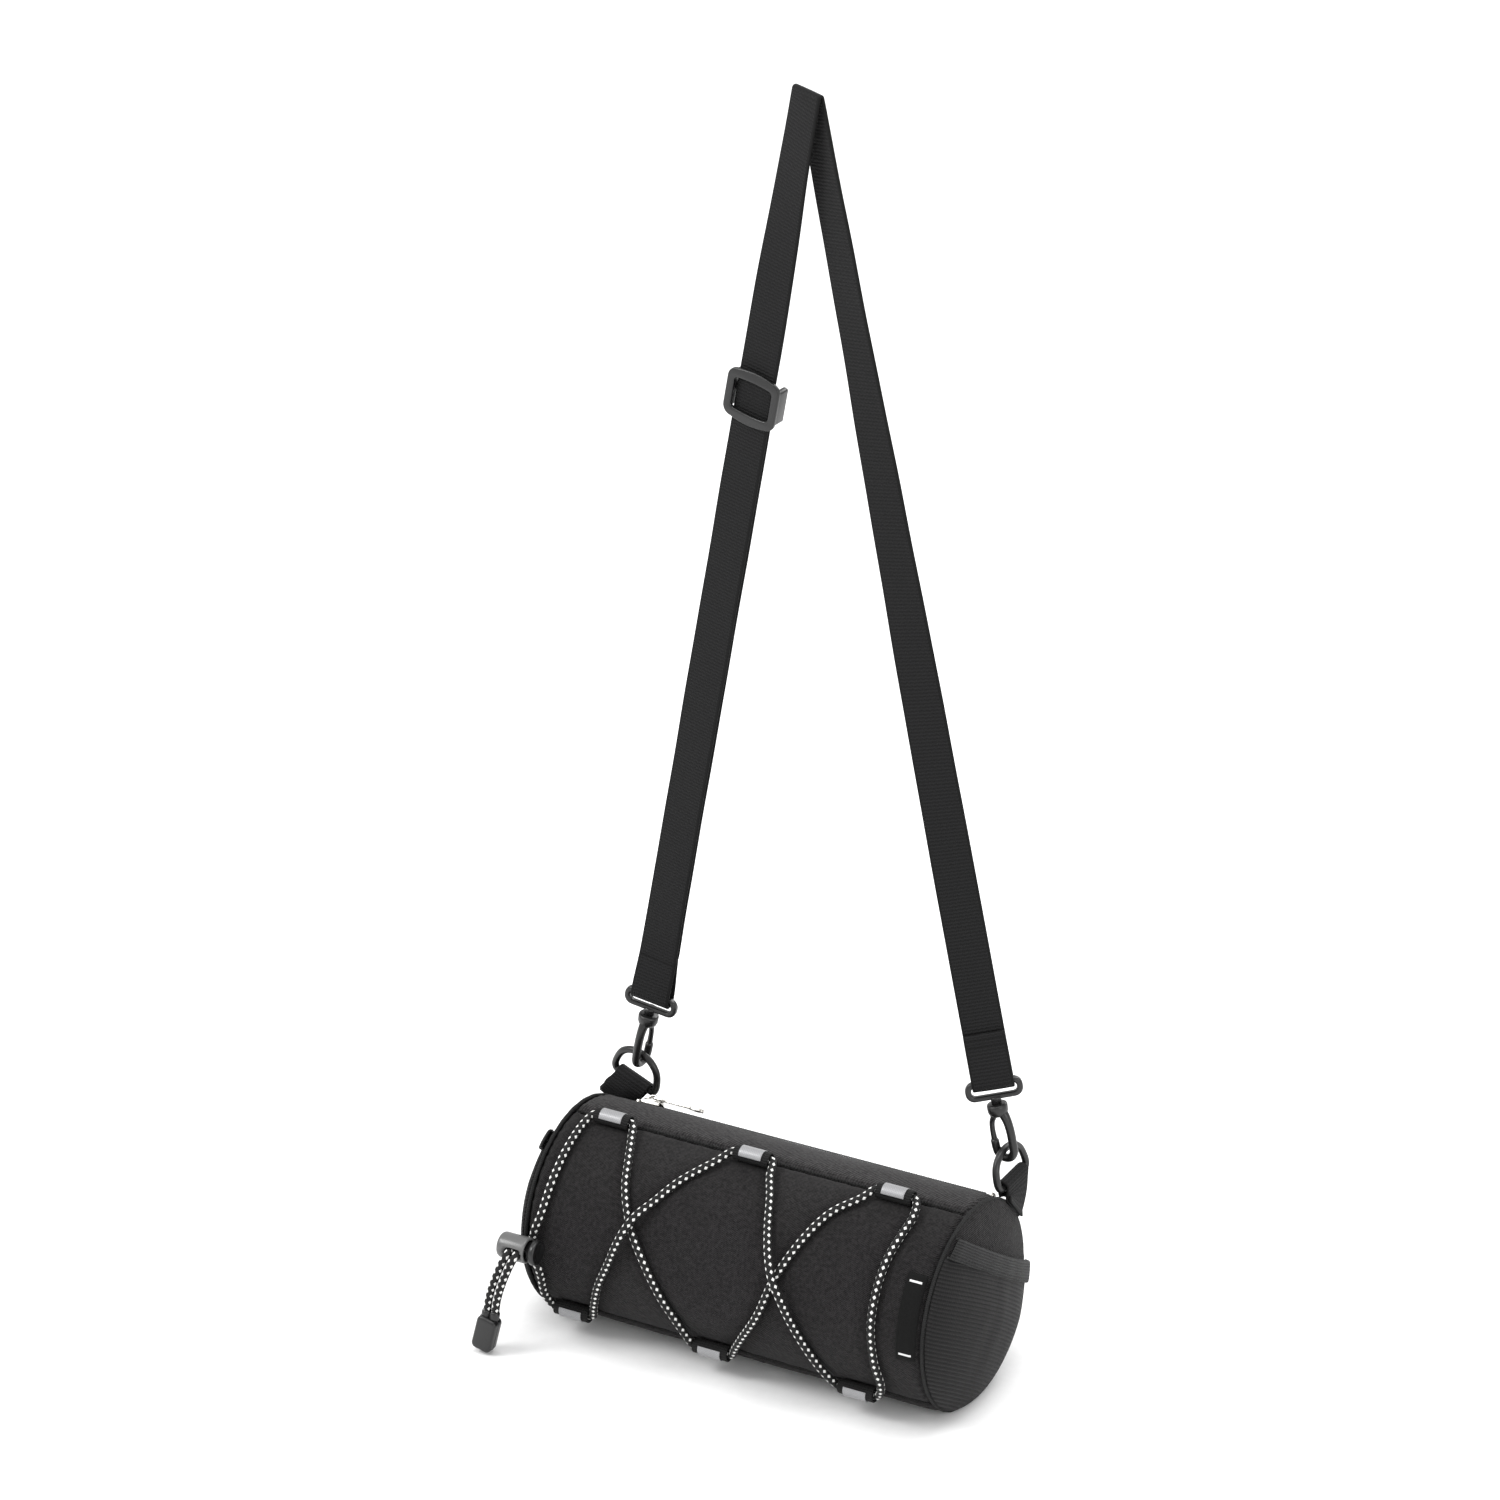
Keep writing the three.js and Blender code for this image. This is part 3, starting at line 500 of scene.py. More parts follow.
def tube_object(name, path, radius, material, sides=14, closed=False):
    """A round tube along a path in millimetres. radius is one number or one for each point."""
    path = np.asarray(path, dtype=float)
    tangent, distance = along_path(path)
    normal = np.cross(tangent[0], (0.31, 0.22, 0.92))
    side = []
    for t in tangent:
        normal = unit(normal - t * np.dot(normal, t))
        side.append(normal)
    side = np.array(side)
    other = np.cross(tangent, side)
    radii = np.broadcast_to(radius, len(path)).astype(float)
    turns = np.arange(sides) / sides * 2 * math.pi
    ring = side[:, None] * np.cos(turns)[None, :, None] + other[:, None] * np.sin(turns)[None, :, None]
    if closed:
        miss = math.atan2(np.dot(side[-1], other[0]), np.dot(side[-1], side[0]))
        share = distance / distance[-1] * miss
        spin = turns[None, :] - share[:, None]
        ring = side[:, None] * np.cos(spin)[..., None] + other[:, None] * np.sin(spin)[..., None]
    points = path[:, None] + ring * radii[:, None, None]
    if not closed:
        ends = []
        for at, direction, row in ((path[0], -tangent[0], points[0]), (path[-1], tangent[-1], points[-1])):
            ends.append(np.array([at + direction * radii[0] * height + (row - at) * width
                                  for height, width in ((0.3, 0.85), (0.45, 0.5), (0.5, 0.02))]))
        points = np.concatenate((ends[0][::-1], points, ends[1]))
        distance = np.concatenate((distance[:1].repeat(3), distance, distance[-1:].repeat(3)))
    uvs = np.zeros((len(points), sides + 1, 2))
    uvs[..., 0] = mm(distance)[:, None]
    uvs[..., 1] = (np.arange(sides + 1) / sides)[None, :]
    return grid_object(name, points, uvs, material, closed=True)


def section(width, thick, bow):
    """A flat strip's section with rounded edges, as (across, out) pairs round it."""
    half = width / 2 - thick / 2
    points = []
    for sign in (1, -1):
        for k in range(12):
            place = sign * (half - 2 * half * k / 12)
            points.append((place, sign * thick / 2 * (1 + bow * (1 - (place / half) ** 2))))
        for k in range(6):
            turn = math.pi * (1 - sign / 2 + k / 6)
            points.append((-sign * half + thick / 2 * math.cos(turn), thick / 2 * math.sin(turn)))
    return np.array(points)


def ribbon_object(name, stations, width, thick, material, bow=0.0, wave=0.0):
    """A strip of webbing through (at, across, out) stations. wave lets its edges wander a little."""
    at = np.array([s[0] for s in stations], dtype=float)
    across = unit(np.array([s[1] for s in stations], dtype=float))
    out = unit(np.array([s[2] for s in stations], dtype=float))
    distance = along_path(at)[1]
    shape = section(width, thick, bow)
    points = at[:, None] + across[:, None] * shape[None, :, :1] + out[:, None] * shape[None, :, 1:]
    if wave:
        share = shape[None, :, 0] / (width / 2)
        long = np.sin(distance / 17.0)[:, None] * share
        short = np.sin(distance / 9.0 + 2)[:, None] * share ** 2
        ripple = long + 0.6 * short
        points = points + out[:, None] * (wave * ripple)[..., None]
    for end in (0, -1):
        points[end] = at[end] + (points[end] - at[end]) * 0.985
    capped = [np.repeat(at[:1], len(shape), axis=0)[None], points,
              np.repeat(at[-1:], len(shape), axis=0)[None]]
    lengths = np.concatenate((distance[:1], distance, distance[-1:]))
    uvs = np.zeros((len(lengths), len(shape) + 1, 2))
    uvs[..., 0] = mm(lengths)[:, None]
    uvs[..., 1] = mm(np.append(shape[:, 0], shape[0, 0]))[None, :]
    return grid_object(name, np.concatenate(capped), uvs, material, closed=True)


def lathe_object(name, profile, matrix, material):
    """Turns (x, radius) pairs round the X axis of a frame."""
    segments = 56
    turns = np.arange(segments) / segments * 2 * math.pi
    points = np.array([[(x, r * math.cos(t), r * math.sin(t)) for t in turns] for x, r in profile])
    uvs = np.zeros((len(profile), segments + 1, 2))
    uvs[..., 0] = mm(np.array([x for x, r in profile]))[:, None]
    uvs[..., 1] = np.linspace(0, 0.04, segments + 1)[None, :]
    obj = grid_object(name, points, uvs, material, closed=True)
    place(obj, matrix)
    return obj


def place(obj, matrix):
    """Moves a mesh's own points by a frame whose origin is in millimetres."""
    frame_m = matrix.copy()
    frame_m.translation = matrix.translation * 0.001
    obj.data.transform(frame_m)
    if frame_m.is_negative:
        obj.data.flip_normals()


def plate_object(name, outlines, low, high, bevel, matrix, material):
    """A flat piece with rounded edges, from y low to high. The first outline, in (x, z), is its rim and
    the rest are holes."""
    curve = bpy.data.curves.new(name, "CURVE")
    curve.dimensions = "2D"
    curve.fill_mode = "BOTH"
    curve.extrude = mm((high - low) / 2 - bevel)
    curve.bevel_depth = mm(bevel)
    curve.bevel_resolution = 3
    curve.offset = -mm(bevel)
    for outline in outlines:
        spline = curve.splines.new("POLY")
        spline.points.add(len(outline) - 1)
        for point, (x, z) in zip(spline.points, outline):
            point.co = (mm(x), mm(z), 0, 1)
        spline.use_cyclic_u = True
    source = bpy.data.objects.new(name, curve)
    mesh = bpy.data.meshes.new_from_object(source)
    bpy.data.objects.remove(source)
    bpy.data.curves.remove(curve)
    mesh.transform(Matrix(((1, 0, 0, 0), (0, 0, -1, mm((low + high) / 2)), (0, 1, 0, 0), (0, 0, 0, 1))))
    mesh.name = name
    obj = bpy.data.objects.new(name, mesh)
    bpy.context.collection.objects.link(obj)
    mesh.materials.clear()
    mesh.materials.append(MATERIALS[material])
    weld(mesh)
    place(obj, matrix)
    mesh.shade_smooth()
    edge = obj.modifiers.new("edges", "EDGE_SPLIT")
    edge.split_angle = math.radians(50)
    return obj


def weld(mesh):
    work = bmesh.new()
    work.from_mesh(mesh)
    bmesh.ops.remove_doubles(work, verts=work.verts, dist=1e-6)
    bmesh.ops.recalc_face_normals(work, faces=work.faces)
    work.to_mesh(mesh)
    work.free()


def rounded(width, height, radius, arch=0.0, x=0.0):
    """A rounded rectangle as (x, z) points; arch bows its top and bottom edges outward."""
    points = []
    corners = ((1, 1, 0), (-1, 1, 90), (-1, -1, 180), (1, -1, 270))
    for index, (sx, sz, start) in enumerate(corners):
        for k in range(7):
            turn = math.radians(start + 15 * k)
            points.append((x + sx * (width / 2 - radius) + radius * math.cos(turn),
                           sz * (height / 2 - radius) + radius * math.sin(turn)))
        if arch and index in (0, 2):
            for k in range(1, 12):
                share = 1 - 2 * k / 12
                px = sx * (width / 2 - radius) * share
                points.append((x + px, sz * (height / 2 + arch * (1 - share * share))))
    return points


def merge(first, *others):
    """Joins meshes into the first object."""
    for obj in (first, *others):
        apply_modifiers(obj)
    work = bmesh.new()
    work.from_mesh(first.data)
    for obj in others:
        work.from_mesh(obj.data)
        bpy.data.objects.remove(obj)
    work.to_mesh(first.data)
    work.free()
    return first


def apply_modifiers(obj):
    if not obj.modifiers:
        return
    graph = bpy.context.evaluated_depsgraph_get()
    graph.update()
    mesh = bpy.data.meshes.new_from_object(obj.evaluated_get(graph), depsgraph=graph)
    obj.modifiers.clear()
    obj.data = mesh


def cut(obj, cutter):
    """Takes another solid out of a piece."""
    modifier = obj.modifiers.new("cut", "BOOLEAN")
    modifier.operation = "DIFFERENCE"
    modifier.solver = "EXACT"
    modifier.object = cutter
    apply_modifiers(obj)
    bpy.data.objects.remove(cutter)


def finished(obj, body, material_slot, *nodes):
    """Hands a piece over to its body and hides the CAD nodes it stands for; material_slot is not used."""
    if nodes:
        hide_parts(*nodes)
    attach(obj, body)


def on_body(x, degrees, radius):
    """A point at a distance along the body, an angle round it and a radius."""
    turn = math.radians(degrees)
    return np.array([x, -radius * math.sin(turn), AXIS_HEIGHT + radius * math.cos(turn)])


def frame_at(origin, along, across):
    """A frame with its Z along one direction and its X as near as possible to another."""
    z = Vector(along).normalized()
    x = Vector(across)
    x = (x - z * x.dot(z)).normalized()
    y = z.cross(x)
    matrix = Matrix((x, y, z)).transposed().to_4x4()
    matrix.translation = Vector(origin)
    return matrix


# ---- lacing ----
def lace_run(rows):
    """Cord over the cloth through (x, degrees) rows, a third number lifting it further out."""
    return [on_body(row[0], row[1], LACE_RADIUS + (row[2] if len(row) > 2 else 0.0)) for row in rows]


def through_loop(x, degrees, direction):
    """Straight through a loop, left to right or right to left."""
    reach = LOOP_WIDTH / 2 + 0.8
    return [on_body(x + direction * step * reach, degrees, LOOP_RADIUS) for step in (-1, -0.5, 0, 0.5, 1)]


def lock_point(side, x, y, z):
    return np.array([LOCK.x + side * TAIL_SPACING + x, LOCK.y + y, LOCK.z + z])


def lace_points():
    """The cord's way from the lock over the front, through the loops and back."""
    return [
        lock_point(1, 0, 4.2, 0), lock_point(1, 0, 6.6, 0.1), lock_point(1, 0.3, 8.7, 2),
        lock_point(1, 1.6, 8.8, 7),
        *lace_run([(-100.5, 71, 0.6), (-99, 53), (-98, 33), (-96.5, 17, 0.8)]),
        *through_loop(TOP_LOOPS[0], TOP_LOOP_ANGLE, 1),
        *lace_run([(-70, 19, 0.6), (-65.5, 32), (-61, 47), (-53, 65), (-44, 80), (-35, 97), (-28, 112),
                   (-24.5, 122, 0.8)]),
        *through_loop(BOTTOM_LOOPS[1], BOTTOM_LOOP_ANGLE, 1),
        *lace_run([(2, 122, 0.8), (8, 111), (18, 93), (26, 70), (35, 48), (43, 31), (54, 18, 0.8)]),
        *through_loop(TOP_LOOPS[2], TOP_LOOP_ANGLE, 1),
        *lace_run([(82, 20, 0.8), (81, 32), (79, 46), (78, 63), (78, 82), (79.5, 102), (81, 118, 1)]),
        *through_loop(BOTTOM_LOOPS[2], BOTTOM_LOOP_ANGLE, -1),
        *lace_run([(51, 121.5, 1), (43, 105), (36, 91, 0.4), (30.5, 78, 3.3), (26, 70, 4.3), (21.5, 60, 3.3),
                   (16, 47, 0.4), (10.5, 31), (5.5, 20, 0.8)]),
        *through_loop(TOP_LOOPS[1], TOP_LOOP_ANGLE, -1),
        *lace_run([(-23, 19, 0.8), (-36, 36), (-44, 49, 0.4), (-49.5, 58, 3.3), (-53, 65, 4.3),
                   (-57, 74, 3.3), (-62, 86, 0.4), (-69, 103), (-74, 119, 0.8)]),
        *through_loop(BOTTOM_LOOPS[0], BOTTOM_LOOP_ANGLE, -1),
        *lace_run([(-101, 119, 1), (-101, 106), (-101.8, 98, 0.8)]),
        lock_point(-1, 0.8, 8.7, -6), lock_point(-1, 0.1, 8.7, -2), lock_point(-1, 0, 6.6, -0.1),
        lock_point(-1, 0, 4.2, 0),
    ]


LACING = smooth_path(lace_points(), 1500)


def make_lacing():
    lacing = tube_object("lacing", LACING, CORD_RADIUS, "cord", 16)
    finished(lacing, "bag", "shock_cord", "shock_cord")


def make_tails():
    matrix = cord_end_frame()
    end = plate_object("cord_end_moulding", [rounded(10.6, 18.4, 2.6)], -3.6, 3.6, 1.3, matrix, "plastic")
    seam = plate_object("cord_end_seam", [rounded(10.9, 18.7, 2.7)], -0.25, 0.25, 0.2, matrix, "plastic")
    collars = []
    for side in (1, -1):
        start = tail_points(side)[-1]
        path = smooth_path([start + np.array([0.1, 0.05, 1.3]), start + np.array([-0.3, -0.1, -1.6])], 6)
        collars.append(tube_object("cord_end_mouth", path, 2.5, "plastic"))
    moulding = merge(end, seam, *collars)
    finished(moulding, "bag", "black_plastic", "cord_end")
    for name, side in (("tail_a", 1), ("tail_b", -1)):
        path = smooth_path(tail_points(side), 90)
        tail = tube_object(name, path, CORD_RADIUS, "cord", 16)
        finished(tail, "bag", "shock_cord", "cord_" + name)


def tail_points(side):
    x = LOCK.x + side * TAIL_SPACING
    offsets = [(0, 3.9, 0), (0, -5, 0), (0, -7.4, -0.8), (-1.2, -9.4, -4), (-3.6, -12.2, -12),
               (-6.2, -13.6, -22), (-7.4, -14.2, -31)]
    return [np.array([x + dx, LOCK.y + dy, LOCK.z + dz]) for dx, dy, dz in offsets]


def cord_end_frame():
    return Matrix.Translation((LOCK.x - 9.7, LOCK.y - 14.6, 10.9)) @ Matrix.Rotation(math.radians(14), 4, "Y")


def make_lock():
    matrix = Matrix.Translation(LOCK)
    between = 2 * TAIL_SPACING
    outside = [(-9.5, 0.01), (-9.5, 4.4), (-9.3, 5.2), (-8.9, 5.9), (-8.2, 6.3), (-7.4, 6.4), (4.7, 6.4),
               (5.3, 6.3), (5.7, 5.9), (5.7, 5.3), (5.5, 5.0), (4.8, 4.9), (-8, 4.9), (-8, 0.01)]
    body = lathe_object("lock_barrel", outside, matrix, "satin")
    cut(body, plate_object("slot", [rounded(between + 5.2, 5.2, 2.59)], -12, 12, 0.02, matrix, "satin"))
    lips = []
    for y in (-5.8, 5.8):
        inward = 1 if y < 0 else -1
        ring = [LOCK + Vector((x, y + 0.14 * z * z * inward, z))
                for x, z in rounded(between + 5.6, 5.6, 2.79)]
        lips.append(tube_object("lock_lip", smooth_path(ring, 60, True), 0.42, "satin", 8, closed=True))
    finished(merge(body, *lips), "bag", "satin_plastic", "cord_lock_body")
    profile = [(-5.4, 0.01), (-5.4, 4.5), (8.0, 4.5), (8.1, 5.2), (8.3, 5.9), (8.7, 6.2), (10.3, 6.2),
               (10.8, 6.0), (11.1, 5.5), (11.2, 4.8), (10.9, 4.4), (10.8, 0.01)]
    button = lathe_object("lock_button", profile, matrix, "plastic")
    hole = rounded(between + 7.1, 4.7, 2.34, x=1.2)
    cut(button, plate_object("slot", [hole], -12, 12, 0.02, matrix, "plastic"))
    finished(button, "cord_lock_button", "black_plastic", "cord_lock_button")


# ---- panels ----
def press(points, depth, reach):
    """How far each point of the cloth is pressed in by the cord lying over it."""
    pressed = np.zeros(len(points))
    for start in range(0, len(points), 800):
        part = points[start:start + 800]
        gap = np.min(np.linalg.norm(part[:, None] - LACING[None, ::3], axis=2), axis=1)
        pressed[start:start + 800] = depth * np.exp(-((np.maximum(gap - 2.4, 0.0) / reach) ** 2))
    return pressed


def soft_floor(z, softness=1.1):
    """Heights kept above the floor, easing into it rather than stopping short."""
    return 0.5 * (z + np.sqrt(z * z + softness * softness))


def cloth_noise(x, degrees, seed):
    return (0.55 * noise.noise(Vector((x / 42, degrees / 26, seed))) +
            0.22 * noise.noise(Vector((x / 13, degrees / 11, seed + 5))))


def wall_spacing(count, low, high):
    """Places from low to high, closer together near both ends."""
    share = np.linspace(0.0, 1.0, count)
    return low + (high - low) * (share - 0.12 * np.sin(2 * math.pi * share) * 0.6)


def make_panel(name, low, high, material, slot_name, node, seed, puff, laced=False):
    """One puffed panel of the round body between two seams, rolled under along all its edges."""
    def cloth(degrees, x):
        edge = math.radians(min(degrees - low, high - degrees)) * RADIUS
        end = min(x + LEFT_LENGTH, HALF_LENGTH - x)
        near = min(edge, end)
        lumps = cloth_noise(x, degrees, seed) * min(1.0, near / 6)
        radius = RADIUS + puff * (1 - math.exp(-near / 7.0)) + lumps
        radius -= 2.7 * math.exp(-(edge / 1.9) ** 2) + 2.3 * math.exp(-(end / 1.8) ** 2)
        radius += 0.3 * math.sin(x / 1.4 + 2 * math.sin(x / 9)) * math.exp(-edge / 3.0)
        radius += 0.4 * math.sin(degrees * 0.9 + 2 * math.sin(degrees / 7 + seed)) * math.exp(-end / 4.5)
        return on_body(x, degrees, radius), (mm(x), mm(math.radians(degrees) * RADIUS))

    rows = max(8, int(math.radians(high - low) * RADIUS / 1.5))
    columns = wall_spacing(140, -LEFT_LENGTH, HALF_LENGTH)
    points, uvs = sampled(wall_spacing(rows, low, high), columns, cloth)
    if laced:
        flat = points.reshape(-1, 3)
        outward = flat - np.array([0.0, 0.0, AXIS_HEIGHT])
        outward[:, 0] = 0.0
        points = (flat - unit(outward) * press(flat, 1.0, 2.6)[:, None]).reshape(points.shape)
    points[..., 2] = soft_floor(points[..., 2])
    panel = grid_object(name, points, uvs, material, thickness=1.5)
    finished(panel, "bag", slot_name, node)


def make_panels():
    front_edge = ZIP_ANGLE + ZIP_HALF_ANGLE
    back_edge = ZIP_ANGLE - ZIP_HALF_ANGLE
    make_panel("front_cloth", YOKE_SEAM, BASE_SEAM_FRONT, "panel", "twill", "front_panel", 1.7, 1.3, True)
    make_panel("yoke_front_cloth", front_edge, YOKE_SEAM, "yoke", "yoke_twill", "yoke_front", 7.3, 1.0)
    back_seam = YOKE_SEAM_BACK - 360
    make_panel("yoke_back_cloth", back_seam, back_edge, "yoke", "yoke_twill", "yoke_back", 11.9, 0.8)
    make_panel("back_cloth", BASE_SEAM_BACK, YOKE_SEAM_BACK, "panel", "twill", "back_panel", 17.1, 1.3)
    make_panel("base_cloth", BASE_SEAM_FRONT, BASE_SEAM_BACK, "panel", "twill", "base_panel", 23.4, 0.9)
    make_lining(front_edge, back_edge)


def make_lining(front_edge, back_edge):
    def foam(degrees, x):
        radius = 49.1 + 0.3 * cloth_noise(x, degrees, 31)
        return on_body(x, degrees, radius), (mm(x), mm(math.radians(degrees) * 49))

    angles = np.linspace(front_edge, 360 + back_edge, 90)
    points, uvs = sampled(angles, np.linspace(0.6 - LEFT_LENGTH, HALF_LENGTH - 0.6, 60), foam)
    points[..., 2] = np.maximum(points[..., 2], 2.4)
    lining = grid_object("lining_foam", points, uvs, "lining", thickness=2.2)
    finished(lining, "bag", "foam_lining", "lining")


def make_seam_stitches():
    """One wandering dark thread along each of the yoke, base and back seams."""
    step = 0.55
    rows = [("yoke", YOKE_SEAM, 0.45), ("base", BASE_SEAM_FRONT, 0.5), ("back", YOKE_SEAM_BACK, 0.5),
            ("under", BASE_SEAM_BACK, 0.4)]
    for name, degrees, lift in rows:
        points = []
        for k in range(1 + int((LEFT_LENGTH + HALF_LENGTH - 5) / step)):
            x = -LEFT_LENGTH + 2.5 + step * k
            swing = 0.55 * math.sin(k * 1.9) + 0.35 * noise.noise(Vector((x / 3, degrees, 2)))
            points.append(on_body(x, degrees + swing, RADIUS - 0.5 + lift * math.cos(k * 1.9 + 0.6)))
        path = np.array(points)
        path[:, 2] = soft_floor(path[:, 2], 0.7)
        thread = tube_object("seam_thread_" + name, path, 0.5, "thread", 6)
        finished(thread, "bag", "webbing")


# ---- domed ends ----
def dome_x(radius, offset, sign):
    """How far out along the axis the domed end stands at a distance from it."""
    length = HALF_LENGTH if sign > 0 else LEFT_LENGTH
    return length + 0.3 + offset + END_BULGE * (1 - (radius / RADIUS) ** 2)


def on_end(sign, x, u, v):
    """A point on an end, u along the pocket's slanting mouth and v square to it."""
    return (sign * x, u * math.cos(MOUTH_SLANT) + v * math.sin(MOUTH_SLANT),
            AXIS_HEIGHT - u * math.sin(MOUTH_SLANT) + v * math.cos(MOUTH_SLANT))


def make_end(side, sign):
    """A domed end, a little gathered into its seam, with a round welt over the seam."""
    def cloth(radius, turn):
        y = radius * math.cos(turn)
        z = radius * math.sin(turn)
        gather = 0.22 * math.sin(turn * 31 + 2 * math.sin(turn * 5)) * math.exp(-(51 - radius) / 5)
        lumps = 0.5 * noise.noise(Vector((math.cos(turn) * radius / 22, math.sin(turn) * radius / 22, sign)))
        bulge = dome_x(radius, 1.8, sign) + gather + lumps
        bulge -= 1.3 * math.exp(-((51.2 - radius) / 1.6) ** 2)
        return (sign * bulge, y, AXIS_HEIGHT + z), (mm(y), mm(z))

    radii = np.concatenate((np.linspace(0.4, 44, 26), np.linspace(45.3, 51.0, 9)))
    turns = np.linspace(0, 2 * math.pi, 121)
    points, uvs = sampled(radii, turns, cloth)
    points = points[:, :-1]
    points[..., 2] = soft_floor(points[..., 2])
    if sign < 0:
        points[:, :, 1] *= -1
        uvs[..., 0] *= -1
    end = grid_object("end_cloth_" + side, points, uvs, "panel", closed=True, thickness=1.5)
    finished(end, "bag", "twill", "end_panel_" + side)
    x = sign * dome_x(RADIUS, 0.2, sign)
    rim = [np.array([x, 50.9 * math.cos(t), AXIS_HEIGHT + (50.9 + 0.1 * math.sin(31 * t)) * math.sin(t)])
           for t in turns[:-1]]
    rim = np.array(rim + rim[:1])
    rim[:, 2] = np.maximum(rim[:, 2], 1.2)
    welt = tube_object("end_welt_" + side, rim, 0.95, "thread", 8, closed=True)
    finished(welt, "bag", "twill")


def make_pocket(side, sign):
    """The stretch pocket below a slanting line across the end, its ribs running along that line."""
    rim = 50.9
    top = 17.4

    def knit(v, share):
        u = share * math.sqrt(max(rim * rim - v * v, 0.0))
        radius = math.hypot(u, v)
        slack = 3.4 * (1 - (radius / rim) ** 6) * (1 - 0.45 * max(0.0, v / top))
        crease = 0.45 * noise.noise(Vector((u / 13, v / 20, 3 * sign))) * (1 - (radius / rim) ** 4)
        x = dome_x(radius, 2.5 + slack + crease, sign) - 0.9 * math.exp(-((rim - radius) / 1.4) ** 2)
        return on_end(sign, x, u, v), (mm(u), mm(v + 2.2 * (u / rim) ** 2))

    rows = np.concatenate((-rim * np.cos(np.linspace(0.06, 1.2, 34)), np.linspace(-17, top, 30)))
    points, uvs = sampled(rows, np.linspace(-1, 1, 61), knit)
    points[..., 2] = soft_floor(points[..., 2], 0.8)
    if sign > 0:
        points, uvs = points[:, ::-1], uvs[:, ::-1]
    pocket = grid_object("pocket_knit_" + side, points, uvs, "knit", thickness=0.9)
    finished(pocket, "bag", "rib_knit", "end_pocket_" + side)


def make_elastic(side, sign):
    """The band along the pocket's mouth, with a rolled top edge."""
    heights = [16.3, 16.5, 17.1, 18.4, 20, 21.8, 23.6, 25.3, 26.3, 26.8, 26.9]
    lifts = [3.4, 4.4, 4.9, 5.05, 5.1, 5.1, 5.1, 5.05, 4.9, 4.4, 3.0]

    def ribbing(row, share):
        v, lift = row
        w = v - (1.6 * (1 - share * share) - 0.8)
        u = share * math.sqrt(51.0 ** 2 - w * w)
        radius = math.hypot(u, w)
        x = dome_x(radius, lift + 0.08 * math.sin(u / 2.7), sign)
        x -= 1.2 * math.exp(-((51 - radius) / 1.3) ** 2)
        return on_end(sign, x, u, w), (mm(u), mm(v - 21.6))

    points, uvs = sampled(list(zip(heights, lifts)), np.linspace(-1, 1, 90), ribbing)
    if sign > 0:
        points, uvs = points[:, ::-1], uvs[:, ::-1]
    band = grid_object("pocket_band_" + side, points, uvs, "elastic", thickness=0.9)
    finished(band, "bag", "elastic", "pocket_elastic_" + side)


def make_label():
    low, high = 49.8, 96.2
    left, right = 91, 101

    def woven(degrees, x):
        edge = min(abs(x - left), abs(right - x), math.radians(min(degrees - low, high - degrees)) * RADIUS)
        lift = 1.95 + 0.25 * (1 - math.exp(-edge)) + cloth_noise(x, degrees, 1.7)
        radius = RADIUS + lift - 0.9 * max(0.0, (x - 97.5) / 3.5) ** 2
        return on_body(x, degrees, radius), (mm(math.radians(degrees - 73) * RADIUS), mm(x - 96))

    points, uvs = sampled(np.linspace(low, high, 40), np.linspace(left, right, 12), woven)
    label = grid_object("blank_label", points, uvs, "label", thickness=0.5)
    finished(label, "bag", "label", "side_label")


# ---- lace loops ----
def loop_frame(x, degrees):
    """Out of the body along Z, along the body in X."""
    turn = Matrix.Rotation(math.radians(degrees), 4, "X")
    return Matrix.Translation((x, 0, AXIS_HEIGHT)) @ turn @ Matrix.Translation((0, 0, LOOP_RADIUS))


def make_loops():
    rows = [("top", TOP_LOOPS, TOP_LOOP_ANGLE, 1), ("bottom", BOTTOM_LOOPS, BOTTOM_LOOP_ANGLE, -1)]
    for row, xs, degrees, seam in rows:
        for index, x in enumerate(xs, 1):
            name = f"{row}_{index}"
            matrix = loop_frame(x, degrees)
            stations = loop_stations(seam, index)
            loop = ribbon_object("loop_" + name, stations, LOOP_WIDTH, 0.95, "loop", wave=0.12)
            place(loop, matrix)
            finished(loop, "bag", "webbing", "lace_loop_" + name)
            patch = ribbon_object("reflector_" + name + "_tape", patch_stations(), 12.0, 0.32, "reflector")
            place(patch, matrix)
            finished(patch, "bag", "reflective", "reflector_" + name)


def loop_stations(seam, index):
    """Webbing from the seam, round the cord and back to the seam, in the loop's frame."""
    stations = []
    for y in (4.8, 3.6, 2.4, 1.2):
        stations.append(((0, seam * y, -3.35 - 0.25 * y / 4.8), (1, 0, 0), (0, 0, -1)))
    for k in range(33):
        turn = math.radians(-90 + seam * 11.0 * k)
        radius = 3.2 + 0.12 * math.sin(2.3 * turn + index)
        out = (0, -math.cos(turn), math.sin(turn))
        stations.append(((0, radius * out[1], radius * out[2]), (1, 0, 0), out))
    for y in (1.4, 2.6, 3.8):
        stations.append(((0, seam * y, -2.35 - 0.2 * y / 3.8), (1, 0, 0), (0, 0, 1)))
    return stations


def patch_stations():
    """The reflective tape over the top of a loop."""
    stations = []
    for k in range(25):
        turn = math.radians(20 + 140 * k / 24)
        out = (0, math.cos(turn), math.sin(turn))
        stations.append(((0, 3.98 * out[1], 3.98 * out[2]), (1, 0, 0), out))
    return stations


# ---- zip ----
ZIP_FRAME = Matrix.Translation((0, 0, AXIS_HEIGHT)) @ Matrix.Rotation(math.radians(ZIP_ANGLE), 4, "X")


